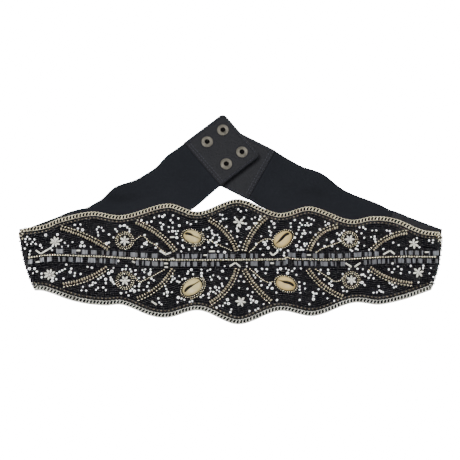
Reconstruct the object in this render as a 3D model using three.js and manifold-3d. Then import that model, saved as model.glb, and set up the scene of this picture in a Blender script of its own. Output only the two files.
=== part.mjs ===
// Beaded belt: a beaded panel with chain borders and shell ornaments, and two elastic straps that
// fold back under its ends and close behind it with a two-by-two field of snaps.
// It lies flat, face up. X runs along the panel, +Y points to the clasp, +Z is up. Millimetres.
import * as THREE from "three";
import { mergeVertices } from "three/addons/utils/BufferGeometryUtils.js";
import Module from "manifold-3d";

const wasm = await Module();
wasm.setup();

const rad = THREE.MathUtils.degToRad;
const mix = THREE.MathUtils.lerp;
const smooth = (value) => THREE.MathUtils.smoothstep(value, 0, 1);

// Gap between pieces that touch
const clearance = 0.3;

// Panel: backing cloth, and the bead field that is sewn on it
const panelLength = 422;
const panelDepth = 131;
const endBow = 3;
const backingThickness = 1.6;
const beadLayer = 1.6;
const endInset = 1;
const chainWidth = 4.3;
const chainHeight = 2.2;
const chainGap = 1.2;

// Elastic straps and the tabs that join them to the panel
const elasticWidth = 59;
const elasticThickness = 1;
const tabMargin = 0.5;
const tabThickness = 1.4;
const tabLength = 58;
const tabLeaf = 24;
const tabHeading = rad(22);
const tabRise = 3.8;
const foldRadius = 1.3;
const leftFoldInset = 7;
const rightFoldInset = 3.8;
const lapLength = 10;
const lapRamp = 6;
const waveHeight = 8;
const waveMargin = 11;
const waveReach = 12;

// How the panel drapes over the straps that lie under it
const drapeMargin = 9;
const drapeRun = 26;
const leafRun = 30;

// Clasp: two patches crossed over each other, joined by the snaps on one diagonal
const patchThickness = 3.2;
const patchMargin = 0.4;
const patchCorner = 5;
const patchBevel = 0.6;
const plyThickness = 0.8;
const slotDepth = 12;
const snapAlong = 20.4;
const snapAcross = 30.7;
const claspTurn = rad(5.4);
const claspShift = -5.5;
const claspGap = 1.7;
const leftSeamReach = 29.2;
const leftTipReach = 22.6;
const rightSeamReach = 46.5;
const rightTipReach = 16;
const rightOffset = 6.2;
const leftRiseRun = 35;
const rightRiseRun = 12;

// Snap parts
const ringRadius = 6;
const ringHeight = 1;
const ringHole = 2;
const barrelRadius = 2.7;
const socketRadius = 5.2;
const socketHeight = 1.9;
const socketHollow = 2.4;
const webHeight = 1.4;
const capRadius = 5.6;
const capHeight = 0.8;
const postRadius = 1.6;
const baseRadius = 4.6;
const baseHeight = 0.6;
const buttonHeight = 1.1;
const buttonBulge = 0.7;

// Ornaments on the bead field
const motifHeight = 1.4;
const motifGap = 0.4;
const leafWidth = 4;
const starRadius = 6;
const starHollow = 0.45;
const starRays = 8;
const medallionRadius = 8.4;
const medallionBand = 3.4;
const shellHeight = 5.2;
const shellRingBand = 2.4;
const shellRingGap = 0.4;
const shellTaper = 0.12;
const shellFoot = 0.4;
const slitReach = 0.46;
const slitWidth = 1.5;
const slitDepth = 1.5;
const centreLineWidth = 2;

// Outline of the panel. along is a share of half its length, rise of half its depth.
const topEdge = [
  { along: -0.996, rise: 0.48 },
  { along: -0.88, rise: 0.533 },
  { along: -0.81, rise: 0.633 },
  { along: -0.655, rise: 0.755 },
  { along: -0.512, rise: 0.705 },
  { along: -0.295, rise: 0.891 },
  { along: -0.152, rise: 0.767 },
  { along: 0.038, rise: 0.969 },
  { along: 0.232, rise: 0.738 },
  { along: 0.38, rise: 0.842 },
  { along: 0.566, rise: 0.633 },
  { along: 0.673, rise: 0.678 },
  { along: 0.777, rise: 0.641 },
  { along: 0.907, rise: 0.453 },
  { along: 0.997, rise: 0.418 },
];
const lowEdge = [
  { along: -0.912, rise: -0.485 },
  { along: -0.868, rise: -0.495 },
  { along: -0.726, rise: -0.65 },
  { along: -0.586, rise: -0.708 },
  { along: -0.502, rise: -0.701 },
  { along: -0.371, rise: -0.867 },
  { along: -0.288, rise: -0.895 },
  { along: -0.144, rise: -0.785 },
  { along: 0.037, rise: -0.999 },
  { along: 0.228, rise: -0.794 },
  { along: 0.39, rise: -0.87 },
  { along: 0.577, rise: -0.666 },
  { along: 0.698, rise: -0.697 },
  { along: 0.81, rise: -0.627 },
  { along: 0.94, rise: -0.478 },
];

// Waves of each strap from its tab (run 0) to its patch (run 1). shift moves the outer edge, as a
// share of the strap's width; lift is the height of that edge, as a share of the wave height.
const leftWaves = [
  { run: 0, shift: 0, lift: 0 },
  { run: 0.1, shift: -0.035, lift: 0 },
  { run: 0.2, shift: -0.015, lift: 0.15 },
  { run: 0.37, shift: 0.035, lift: 0.85 },
  { run: 0.58, shift: -0.01, lift: 0.15 },
  { run: 0.7, shift: -0.02, lift: 0.25 },
  { run: 0.85, shift: 0.02, lift: 0.6 },
  { run: 1, shift: 0, lift: 0 },
];
const rightWaves = [
  { run: 0, shift: 0, lift: 0 },
  { run: 0.12, shift: 0.02, lift: 0 },
  { run: 0.4, shift: -0.03, lift: 0.15 },
  { run: 0.62, shift: 0.015, lift: 0.8 },
  { run: 0.8, shift: -0.02, lift: 0.2 },
  { run: 1, shift: 0, lift: 0 },
];

// Ornaments, placed by shares of half the panel's length and depth. bow is the sag of a leaf's
// spine as a share of its length; turn is in degrees; shell lengths and widths are shares of the
// panel's depth.
const leaves = [
  { name: "leaf_upper_1", x0: -0.793, y0: 0.483, x1: -0.573, y1: 0.165, bow: 0.044 },
  { name: "leaf_upper_2", x0: -0.44, y0: 0.595, x1: -0.258, y1: 0.141, bow: 0.066 },
  { name: "leaf_upper_3", x0: -0.095, y0: 0.628, x1: 0.033, y1: 0.141, bow: 0.095 },
  { name: "leaf_upper_4", x0: 0.168, y0: 0.66, x1: 0.066, y1: 0.141, bow: -0.075 },
  { name: "leaf_upper_5", x0: 0.505, y0: 0.523, x1: 0.371, y1: 0.149, bow: -0.144 },
  { name: "leaf_upper_6", x0: 0.83, y0: 0.411, x1: 0.67, y1: 0.149, bow: -0.1 },
  { name: "leaf_lower_1", x0: -0.774, y0: -0.425, x1: -0.576, y1: -0.151, bow: -0.062 },
  { name: "leaf_lower_2", x0: -0.428, y0: -0.62, x1: -0.267, y1: -0.167, bow: -0.095 },
  { name: "leaf_lower_3", x0: -0.088, y0: -0.689, x1: 0.033, y1: -0.159, bow: -0.1 },
  { name: "leaf_lower_4", x0: 0.186, y0: -0.658, x1: 0.066, y1: -0.175, bow: 0.05 },
  { name: "leaf_lower_5", x0: 0.521, y0: -0.589, x1: 0.365, y1: -0.167, bow: 0.083 },
  { name: "leaf_lower_6", x0: 0.844, y0: -0.41, x1: 0.655, y1: -0.159, bow: 0.075 },
];
const stars = [
  { name: "star_upper_left", x: -0.821, y: 0.276, size: 0.92 },
  { name: "star_lower_left", x: -0.844, y: -0.245, size: 1.08 },
  { name: "star_upper_middle", x: 0.038, y: 0.587, size: 1.08 },
  { name: "star_lower_middle", x: 0.044, y: -0.651, size: 1 },
  { name: "star_upper_right", x: 0.864, y: 0.252, size: 0.85 },
  { name: "star_lower_right", x: 0.879, y: -0.198, size: 0.92 },
];
const medallions = [
  { name: "medallion_upper_left", x: -0.496, y: 0.292, size: 1 },
  { name: "medallion_lower_left", x: -0.491, y: -0.336, size: 1 },
  { name: "medallion_upper_right", x: 0.563, y: 0.311, size: 0.92 },
  { name: "medallion_lower_right", x: 0.567, y: -0.331, size: 0.95 },
];
const shells = [
  { name: "shell_upper_left", x: -0.179, y: 0.356, length: 0.157, width: 0.106, turn: -18 },
  { name: "shell_lower_left", x: -0.177, y: -0.441, length: 0.184, width: 0.124, turn: 218 },
  { name: "shell_upper_right", x: 0.25, y: 0.316, length: 0.176, width: 0.12, turn: 38 },
  { name: "shell_lower_right", x: 0.261, y: -0.386, length: 0.172, width: 0.114, turn: -22 },
];
const centreLine = [
  { x: -0.94, y: 0.007 },
  { x: -0.835, y: 0.046 },
  { x: -0.591, y: 0.03 },
  { x: -0.291, y: -0.009 },
  { x: 0.211, y: -0.001 },
  { x: 0.263, y: 0.03 },
  { x: 0.314, y: 0.003 },
  { x: 0.539, y: -0.009 },
  { x: 0.737, y: 0.022 },
  { x: 0.96, y: 0.018 },
];

// How finely the shapes are divided
const panelColumns = 46;
const panelRows = 6;
const strapRows = 20;
const strapColumns = 5;
const foldSteps = 6;
const chainSteps = 56;
const tubeSides = 8;
const leafSteps = 6;
const ringSteps = 12;
const lineSteps = 16;
const roundSides = 10;

const halfLength = panelLength / 2;
const halfDepth = panelDepth / 2;
const backingTop = backingThickness;
const beadBottom = backingTop + clearance;
const beadTop = beadBottom + beadLayer;
const motifBottom = beadTop + motifGap;

// Heights of the layers in the clasp, from the floor up
const rightPatchBottom = capHeight + clearance;
const rightPatchTop = rightPatchBottom + patchThickness;
const baseBottom = rightPatchTop + clearance;
const socketBottom = baseBottom + baseHeight + clearance;
const leftPatchBottom = socketBottom + socketHeight + clearance;
const leftPatchTop = leftPatchBottom + patchThickness;
const ringBottom = leftPatchTop + clearance;

// Geometry helpers

function turnedOut(geometry) {
  // Turns the faces outward if they point in.
  const at = geometry.attributes.position;
  const index = geometry.index.array;
  const a = new THREE.Vector3();
  const b = new THREE.Vector3();
  const c = new THREE.Vector3();
  let volume = 0;
  for (let i = 0; i < index.length; i += 3) {
    a.fromBufferAttribute(at, index[i]);
    b.fromBufferAttribute(at, index[i + 1]);
    c.fromBufferAttribute(at, index[i + 2]);
    volume += a.dot(b.cross(c));
  }
  if (volume < 0) {
    for (let i = 0; i < index.length; i += 3) {
      const kept = index[i];
      index[i] = index[i + 1];
      index[i + 1] = kept;
    }
  }
  return geometry;
}

function merged(geometry) {
  const bare = new THREE.BufferGeometry();
  bare.setAttribute("position", geometry.attributes.position.clone());
  if (geometry.index) bare.setIndex(geometry.index.clone());
  return mergeVertices(bare, 1e-4);
}

function toSolid(geometry) {
  const shape = merged(geometry);
  const vertProperties = new Float32Array(shape.attributes.position.array);
  const triVerts = new Uint32Array(shape.index.array);
  return new wasm.Manifold(new wasm.Mesh({ numProp: 3, vertProperties, triVerts }));
}

function toGeometry(solid) {
  const mesh = solid.getMesh();
  const geometry = new THREE.BufferGeometry();
  geometry.setAttribute("position", new THREE.BufferAttribute(new Float32Array(mesh.vertProperties), 3));
  geometry.setIndex(new THREE.BufferAttribute(new Uint32Array(mesh.triVerts), 1));
  return geometry;
}

function sheetSolid(columns, rows, place) {
  // A closed sheet over a grid. place(i, j) gives the pair of points on its two faces.
  const points = [];
  const index = [];
  const at = (i, j, face) => (i * (rows + 1) + j) * 2 + face;
  for (let i = 0; i <= columns; i += 1) {
    for (let j = 0; j <= rows; j += 1) {
      const pair = place(i, j);
      points.push(...pair[0].toArray(), ...pair[1].toArray());
    }
  }
  const quad = (a, b, c, d) => index.push(a, b, c, a, c, d);
  for (let i = 0; i < columns; i += 1) {
    for (let j = 0; j < rows; j += 1) {
      quad(at(i, j, 1), at(i + 1, j, 1), at(i + 1, j + 1, 1), at(i, j + 1, 1));
      quad(at(i, j, 0), at(i, j + 1, 0), at(i + 1, j + 1, 0), at(i + 1, j, 0));
    }
    quad(at(i, 0, 0), at(i + 1, 0, 0), at(i + 1, 0, 1), at(i, 0, 1));
    quad(at(i, rows, 0), at(i, rows, 1), at(i + 1, rows, 1), at(i + 1, rows, 0));
  }
  for (let j = 0; j < rows; j += 1) {
    quad(at(0, j, 0), at(0, j, 1), at(0, j + 1, 1), at(0, j + 1, 0));
    quad(at(columns, j, 0), at(columns, j + 1, 0), at(columns, j + 1, 1), at(columns, j, 1));
  }
  const geometry = new THREE.BufferGeometry();
  geometry.setAttribute("position", new THREE.Float32BufferAttribute(points, 3));
  geometry.setIndex(index);
  return turnedOut(geometry);
}

function ovalSection(width, height) {
  // The section of a string or chain: X of the section is its height, Y its width.
  const section = new THREE.Shape();
  section.absellipse(0, 0, height / 2, width / 2, 0, Math.PI * 2);
  return new THREE.Shape(section.getSpacedPoints(tubeSides).slice(0, tubeSides));
}

function stringAlong(path, width, height, steps) {
  const section = ovalSection(width, height);
  return merged(new THREE.ExtrudeGeometry(section, { steps, extrudePath: path }));
}

function ringSolid(halfLong, halfShort, band, height) {
  // A string of beads that closes on itself round an oval.
  const torus = merged(new THREE.TorusGeometry(halfLong, band / 2, tubeSides, ringSteps));
  const at = torus.attributes.position;
  for (let i = 0; i < at.count; i += 1) {
    const angle = Math.atan2(at.getY(i), at.getX(i));
    const offset = Math.hypot(at.getX(i), at.getY(i)) - halfLong;
    const outward = new THREE.Vector2(Math.cos(angle) / halfLong, Math.sin(angle) / halfShort);
    outward.normalize();
    const x = Math.cos(angle) * halfLong + outward.x * offset;
    const y = Math.sin(angle) * halfShort + outward.y * offset;
    at.setXYZ(i, x, y, (at.getZ(i) * height) / band);
  }
  return torus;
}

// Outline of the panel

function riseAt(rows, along) {
  // A smooth curve through the rows of an edge table, as a function of the place along the panel.
  const last = rows.length - 1;
  let k = 0;
  while (k < last - 1 && along > rows[k + 1].along) k += 1;
  const slope = (i) => {
    const low = rows[Math.max(i - 1, 0)];
    const high = rows[Math.min(i + 1, last)];
    return (high.rise - low.rise) / (high.along - low.along);
  };
  const span = rows[k + 1].along - rows[k].along;
  const t = THREE.MathUtils.clamp((along - rows[k].along) / span, 0, 1);
  const t2 = t * t;
  const t3 = t2 * t;
  return (
    rows[k].rise * (2 * t3 - 3 * t2 + 1) +
    slope(k) * span * (t3 - 2 * t2 + t) +
    rows[k + 1].rise * (3 * t2 - 2 * t3) +
    slope(k + 1) * span * (t3 - t2)
  );
}

function edgePoint(rows, u) {
  const along = mix(rows[0].along, rows[rows.length - 1].along, u);
  return new THREE.Vector2(along * halfLength, riseAt(rows, along) * halfDepth);
}

const topRise = (x) => riseAt(topEdge, x / halfLength) * halfDepth;
const borderInset = chainWidth + chainGap;

function panelShare(column) {
  // The first and last columns are narrow: they are the margin outside the bead field.
  if (column === 0) return 0;
  if (column === panelColumns) return 1;
  const margin = endInset / panelLength;
  return mix(margin, 1 - margin, (column - 1) / (panelColumns - 2));
}

function panelPoint(column, row) {
  // The first and last rows are the border that carries the chain.
  const u = panelShare(column);
  const low = edgePoint(lowEdge, u);
  const top = edgePoint(topEdge, u);
  const border = borderInset / low.distanceTo(top);
  let v = mix(border, 1 - border, (row - 1) / (panelRows - 2));
  if (row === 0) v = 0;
  if (row === panelRows) v = 1;
  const point = low.clone().lerp(top, v);
  const bow = endBow * Math.sin(Math.PI * v);
  point.x += bow * (u < 0.5 ? -1 : 1) * Math.pow(Math.abs(2 * u - 1), 6);
  return point;
}

function endAt(side, y) {
  // X of the panel's left (-1) or right (+1) end at a height y.
  const u = side < 0 ? 0 : 1;
  const low = edgePoint(lowEdge, u);
  const top = edgePoint(topEdge, u);
  const v = THREE.MathUtils.clamp((y - low.y) / (top.y - low.y), 0, 1);
  return mix(low.x, top.x, v) + side * endBow * Math.sin(Math.PI * v);
}

// Where the clasp lies, and the straps that lead to it

const claspTilt = Math.atan2(snapAlong, snapAcross);
const leftHeading = claspTilt + claspTurn;
const rightHeading = Math.PI - claspTilt + claspTurn;
const patchHalf = elasticWidth / 2 + patchMargin;

function axes(heading) {
  const along = new THREE.Vector2(Math.cos(heading), Math.sin(heading));
  return { along, across: new THREE.Vector2(-along.y, along.x) };
}

// The corner of the right patch next to the panel sets how high the clasp lies.
const rightAxes = axes(rightHeading);
const nearCorner = rightAxes.along
  .clone()
  .multiplyScalar(-rightSeamReach)
  .addScaledVector(rightAxes.across, rightOffset + patchHalf);
const claspCentre = new THREE.Vector2(claspShift, 0);
claspCentre.y = topRise(claspShift + nearCorner.x) + claspGap - nearCorner.y;

function strapOn(side, foldInset, heading, seamReach, offset, slotFloor, riseRun, waves) {
  // side is -1 for the left strap, +1 for the right one, and the strap runs from tab to clasp.
  const tab = axes(side < 0 ? tabHeading : Math.PI - tabHeading);
  const patch = axes(heading);
  const fold = new THREE.Vector2(endAt(side, tabRise) - side * foldInset, tabRise);
  const tabEnd = fold.clone().addScaledVector(tab.along, tabLength);
  const seam = claspCentre
    .clone()
    .addScaledVector(patch.along, -seamReach)
    .addScaledVector(patch.across, offset);
  const reach = tabEnd.distanceTo(seam) / 3;
  const spine = new THREE.CubicBezierCurve(
    tabEnd,
    tabEnd.clone().addScaledVector(tab.along, reach),
    seam.clone().addScaledVector(patch.along, -reach),
    seam,
  );
  const lowTab = tabEnd.clone().addScaledVector(tab.across, (side * elasticWidth) / 2);
  const lowSeam = seam.clone().addScaledVector(patch.across, (side * elasticWidth) / 2);
  return { side, tab, patch, fold, tabEnd, seam, spine, lowTab, lowSeam, slotFloor, riseRun, waves };
}

const slotRise = plyThickness + clearance;
const leftStrap = strapOn(
  -1,
  leftFoldInset,
  leftHeading,
  leftSeamReach,
  0,
  leftPatchBottom + slotRise,
  leftRiseRun,
  leftWaves,
);
const rightStrap = strapOn(
  1,
  rightFoldInset,
  rightHeading,
  rightSeamReach,
  rightOffset,
  rightPatchBottom + slotRise,
  rightRiseRun,
  rightWaves,
);

// Drape of the panel over the straps

const elasticStack = elasticThickness + clearance;
const tabStack = elasticStack + tabThickness + clearance;
const leafBottom = 2 * foldRadius;
const leafStack = leafBottom + tabThickness + clearance;

function above(point, from, direction, side) {
  // Distance of a point from a line, positive on the side where the strap lies.
  const cross = direction.x * (point.y - from.y) - direction.y * (point.x - from.x);
  return -side * cross;
}

const ramp = (distance, run) => smooth((distance + run) / run);

function strapLift(strap, point) {
  const chord = strap.lowSeam.clone().sub(strap.lowTab).normalize();
  const overElastic = above(point, strap.lowTab, chord, strap.side) + drapeMargin;
  const overTab = above(point, strap.lowTab, strap.tab.along, strap.side) + drapeMargin;
  const fromTabEnd = strap.tabEnd.clone().sub(point).dot(strap.tab.along) + drapeMargin;
  const elasticPart = elasticStack * ramp(overElastic, drapeRun);
  const tabPart = tabStack * ramp(overTab, drapeRun) * ramp(fromTabEnd, drapeRun);
  const pastLeaf = tabLeaf + drapeMargin - (strap.fold.x - point.x) * strap.side;
  const leafPart = leafStack * ramp(pastLeaf, leafRun);
  return Math.max(elasticPart, tabPart, leafPart);
}

function liftAt(x, y) {
  const point = new THREE.Vector2(x, y);
  return Math.max(strapLift(leftStrap, point), strapLift(rightStrap, point));
}

// The corners of the panel's facets, with their lift
const panelGrid = [];
for (let i = 0; i <= panelColumns; i += 1) {
  panelGrid.push([]);
  for (let j = 0; j <= panelRows; j += 1) {
    const point = panelPoint(i, j);
    panelGrid[i].push(new THREE.Vector3(point.x, point.y, liftAt(point.x, point.y)));
  }
}

function facetLift(x, y) {
  // The lift of the panel's own facet at a point, or of the nearest one.
  let best = -Infinity;
  let lift = 0;
  const weigh = (a, b, c) => {
    const area = (b.x - a.x) * (c.y - a.y) - (c.x - a.x) * (b.y - a.y);
    const wb = ((x - a.x) * (c.y - a.y) - (c.x - a.x) * (y - a.y)) / area;
    const wc = ((b.x - a.x) * (y - a.y) - (x - a.x) * (b.y - a.y)) / area;
    const least = Math.min(1 - wb - wc, wb, wc);
    if (least <= best) return;
    best = least;
    lift = a.z * (1 - wb - wc) + b.z * wb + c.z * wc;
  };
  for (let i = 0; i < panelColumns; i += 1) {
    for (let j = 0; j < panelRows; j += 1) {
      const a = panelGrid[i][j];
      const c = panelGrid[i + 1][j + 1];
      weigh(a, panelGrid[i + 1][j], c);
      weigh(a, c, panelGrid[i][j + 1]);
    }
  }
  return lift;
}

function draped(geometry) {
  const at = geometry.attributes.position;
  for (let i = 0; i < at.count; i += 1) {
    at.setZ(i, at.getZ(i) + facetLift(at.getX(i), at.getY(i)));
  }
  return geometry;
}

// Materials

function finish(color, roughness, metalness) {
  return new THREE.MeshStandardMaterial({ color, roughness, metalness });
}

const belt = new THREE.Group();

function addMesh(name, geometry, material, parent = belt) {
  const mesh = new THREE.Mesh(geometry, material);
  mesh.name = name;
  parent.add(mesh);
  return mesh;
}

// Panel

function panelLayer(bottom, top, firstColumn, firstRow) {
  const columns = panelColumns - 2 * firstColumn;
  const rows = panelRows - 2 * firstRow;
  return sheetSolid(columns, rows, (i, j) => {
    const corner = panelGrid[i + firstColumn][j + firstRow];
    return [
      new THREE.Vector3(corner.x, corner.y, bottom + corner.z),
      new THREE.Vector3(corner.x, corner.y, top + corner.z),
    ];
  });
}

function chainAlong(rows, row) {
  // The chain lies on the border, its outer edge on the outline.
  const points = [];
  const inward = (row === 0 ? 1 : -1) * (chainWidth / 2);
  for (let i = 0; i <= panelColumns; i += 1) {
    const u = panelShare(i);
    const here = edgePoint(rows, u);
    const next = edgePoint(rows, Math.min(u + 0.01, 1));
    const back = edgePoint(rows, Math.max(u - 0.01, 0));
    const run = next.sub(back).normalize();
    points.push(new THREE.Vector3(here.x - run.y * inward, here.y + run.x * inward, 0));
  }
  const tube = stringAlong(new THREE.CatmullRomCurve3(points), chainWidth, chainHeight, chainSteps);
  return tube.translate(0, 0, beadBottom + chainHeight / 2);
}

function addPanel() {
  const blackCloth = finish(0x1b1b1e, 0.9, 0);
  const blackBeads = finish(0x0e0e11, 0.25, 0.1);
  const paleGold = finish(0xcdb88a, 0.35, 0.9);
  const silver = finish(0xc9c6bd, 0.32, 0.9);
  addMesh("panel_backing", panelLayer(0, backingTop, 0, 0), blackCloth);
  addMesh("bead_field", panelLayer(beadBottom, beadTop, 1, 1), blackBeads);
  addMesh("chain_top", draped(chainAlong(topEdge, panelRows)), paleGold);
  addMesh("chain_bottom", draped(chainAlong(lowEdge, 0)), silver);
}

// Ornaments

function onPanel(geometry, x, y, turn) {
  geometry.rotateZ(turn);
  geometry.translate(x * halfLength, y * halfDepth, motifBottom);
  return draped(geometry);
}

function addLeaves() {
  const bronze = finish(0xa8824a, 0.35, 0.85);
  for (const leaf of leaves) {
    const from = new THREE.Vector2(leaf.x0 * halfLength, leaf.y0 * halfDepth);
    const to = new THREE.Vector2(leaf.x1 * halfLength, leaf.y1 * halfDepth);
    const run = to.clone().sub(from);
    const middle = from.clone().lerp(to, 0.5);
    const handle = new THREE.Vector2(middle.x - run.y * 2 * leaf.bow, middle.y + run.x * 2 * leaf.bow);
    const spine = new THREE.QuadraticBezierCurve3(
      new THREE.Vector3(from.x, from.y, 0),
      new THREE.Vector3(handle.x, handle.y, 0),
      new THREE.Vector3(to.x, to.y, 0),
    );
    const shape = stringAlong(spine, leafWidth, motifHeight, leafSteps);
    shape.translate(0, 0, motifBottom + motifHeight / 2);
    addMesh(leaf.name, draped(shape), bronze);
  }
}

function starSolid(radius) {
  const shape = new THREE.Shape();
  for (let i = 0; i < starRays * 2; i += 1) {
    const reach = i % 2 ? radius * starHollow : radius;
    const angle = (Math.PI * i) / starRays;
    const x = reach * Math.cos(angle);
    const y = reach * Math.sin(angle);
    if (i === 0) shape.moveTo(x, y);
    else shape.lineTo(x, y);
  }
  return merged(new THREE.ExtrudeGeometry(shape, { depth: motifHeight, bevelEnabled: false }));
}

function addStars() {
  const gold = finish(0xcdb88a, 0.35, 0.9);
  for (const star of stars) {
    addMesh(star.name, onPanel(starSolid(starRadius * star.size), star.x, star.y, 0), gold);
  }
  for (const ring of medallions) {
    const radius = medallionRadius * ring.size;
    const band = ringSolid(radius, radius, medallionBand, motifHeight);
    band.translate(0, 0, motifHeight / 2);
    const inner = starSolid(radius - medallionBand / 2 - clearance);
    addMesh(ring.name + "_ring", onPanel(band, ring.x, ring.y, 0), gold);
    addMesh(ring.name + "_star", onPanel(inner, ring.x, ring.y, 0), gold);
  }
}

function shellSolid(length, width) {
  // A domed shell with a flat foot and a slit along its back, narrower towards one end.
  const dome = merged(new THREE.SphereGeometry(1, roundSides, 8).rotateX(Math.PI / 2));
  const at = dome.attributes.position;
  for (let i = 0; i < at.count; i += 1) {
    const taper = 1 - shellTaper * at.getX(i);
    const z = (Math.max(at.getZ(i), -shellFoot) + shellFoot) / (1 + shellFoot);
    at.setXYZ(i, (at.getX(i) * length) / 2, (at.getY(i) * taper * width) / 2, z * shellHeight);
  }
  const slit = merged(new THREE.SphereGeometry(1, 8, 6));
  slit.scale(length * slitReach, slitWidth / 2, slitDepth);
  slit.translate(0, 0, shellHeight);
  return toGeometry(toSolid(dome).subtract(toSolid(slit)));
}

function addShells() {
  const cowrie = finish(0xd9c7a3, 0.35, 0);
  const gold = finish(0xcdb88a, 0.35, 0.9);
  for (const shell of shells) {
    const length = shell.length * panelDepth;
    const width = shell.width * panelDepth;
    const turn = rad(shell.turn);
    const out = shellRingGap + shellRingBand / 2;
    const ring = ringSolid(length / 2 + out, width / 2 + out, shellRingBand, motifHeight);
    ring.translate(0, 0, motifHeight / 2);
    addMesh(shell.name, onPanel(shellSolid(length, width), shell.x, shell.y, turn), cowrie);
    addMesh(shell.name + "_ring", onPanel(ring, shell.x, shell.y, turn), gold);
  }
}

function addCentreLine() {
  const points = centreLine.map((row) => new THREE.Vector3(row.x * halfLength, row.y * halfDepth, 0));
  const path = new THREE.CatmullRomCurve3(points);
  const shape = stringAlong(path, centreLineWidth, motifHeight, lineSteps);
  shape.translate(0, 0, motifBottom + motifHeight / 2);
  addMesh("centre_line", draped(shape), finish(0xcdb88a, 0.35, 0.9));
}

// Straps

function tabSolid(strap) {
  // Leatherette folded round the end of the strap: one leaf under the panel, one along the floor.
  const tilt = tabHeading / 2;
  const half = elasticWidth / 2 - tabMargin;
  const arc = (Math.PI / 2) * foldRadius;
  const lapStart = tabLength - lapLength;
  const lowRows = [lapStart - lapRamp, lapStart, tabLength];
  const rows = foldSteps + 1 + lowRows.length;
  const inward = new THREE.Vector2(Math.cos(tilt), Math.sin(tilt));
  const foldLine = new THREE.Vector2(-inward.y, inward.x);
  const floorMid = tabThickness / 2;
  const bend = (k, w) => {
    // The distance from the fold line, and the place along it, of row k at w across the strap.
    const atArc = (q) => (q + w * Math.sin(tilt)) / Math.cos(tilt);
    let p = -tabLeaf;
    if (k > 0 && k <= foldSteps + 1) p = atArc(mix(-arc, arc, (k - 1) / foldSteps));
    if (k > foldSteps + 1) p = lowRows[k - foldSteps - 2];
    const q = p * Math.cos(tilt) - w * Math.sin(tilt);
    const along = p * Math.sin(tilt) + w * Math.cos(tilt);
    const raised = k > foldSteps + 2 ? elasticStack : 0;
    if (q >= arc - 1e-6) return { reach: q - arc, z: floorMid + raised, along, nx: 0, nz: -1 };
    if (q <= -arc + 1e-6) {
      return { reach: -q - arc, z: floorMid + 2 * foldRadius, along, nx: 0, nz: 1 };
    }
    const angle = q / foldRadius;
    const nx = -Math.cos(angle);
    const nz = -Math.sin(angle);
    return { reach: nx * foldRadius, z: floorMid + foldRadius * (1 + nz), along, nx, nz };
  };
  return sheetSolid(rows, 1, (i, j) => {
    const bent = bend(i, j ? half : -half);
    return [-1, 1].map((face) => {
      const off = (face * tabThickness) / 2;
      const flat = inward.clone().multiplyScalar(bent.reach + bent.nx * off);
      flat.addScaledVector(foldLine, bent.along);
      const x = strap.fold.x - strap.side * flat.x;
      return new THREE.Vector3(x, strap.fold.y + flat.y, bent.z + bent.nz * off);
    });
  });
}

function waveAt(waves, run) {
  let k = 0;
  while (k < waves.length - 2 && run > waves[k + 1].run) k += 1;
  const t = smooth((run - waves[k].run) / (waves[k + 1].run - waves[k].run));
  return {
    shift: mix(waves[k].shift, waves[k + 1].shift, t),
    lift: mix(waves[k].lift, waves[k + 1].lift, t),
  };
}

function elasticSolid(strap) {
  // A strip on the floor that waves where it comes out from under the panel, and rises to its patch.
  const start = -(lapLength - clearance);
  const intoSlot = slotDepth - clearance;
  const length = strap.spine.getLength();
  const outer = -strap.side;
  return sheetSolid(strapRows, strapColumns, (i, j) => {
    let run = (i - 1) / (strapRows - 2);
    let centre;
    let facing;
    if (i === 0) {
      centre = strap.tabEnd.clone().addScaledVector(strap.tab.along, start);
      facing = strap.tab.across;
      run = 0;
    } else if (i === strapRows) {
      centre = strap.seam.clone().addScaledVector(strap.patch.along, intoSlot);
      facing = strap.patch.across;
      run = 1;
    } else {
      centre = strap.spine.getPoint(run);
      const ahead = strap.spine.getTangent(run);
      facing = new THREE.Vector2(-ahead.y, ahead.x);
    }
    const wave = waveAt(strap.waves, run);
    const across = j / strapColumns;
    const edge = mix(-elasticWidth / 2, elasticWidth / 2 + wave.shift * elasticWidth, across);
    const point = centre.clone().addScaledVector(facing, outer * edge);
    const free = point.y - topRise(point.x);
    const waved = waveHeight * wave.lift * smooth((free - waveMargin) / waveReach) * across;
    const toSeam = (1 - run) * length;
    const risen = strap.slotFloor * smooth(1 - toSeam / strap.riseRun) * smooth(free / claspGap);
    const z = waved * smooth(toSeam / strap.riseRun) + risen;
    return [
      new THREE.Vector3(point.x, point.y, z),
      new THREE.Vector3(point.x, point.y, z + elasticThickness),
    ];
  });
}

function addStraps() {
  const leatherette = finish(0x303033, 0.55, 0);
  const elastic = finish(0x1c1e23, 0.9, 0);
  addMesh("tab_left", tabSolid(leftStrap), leatherette);
  addMesh("tab_right", tabSolid(rightStrap), leatherette);
  addMesh("elastic_left", elasticSolid(leftStrap), elastic);
  addMesh("elastic_right", elasticSolid(rightStrap), elastic);
}

// Clasp. Each patch is built about the middle of its own four snap places, X along its strap.

const snapPlaces = [
  new THREE.Vector2(-snapAlong / 2, -snapAcross / 2),
  new THREE.Vector2(-snapAlong / 2, snapAcross / 2),
  new THREE.Vector2(snapAlong / 2, -snapAcross / 2),
  new THREE.Vector2(snapAlong / 2, snapAcross / 2),
];

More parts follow.
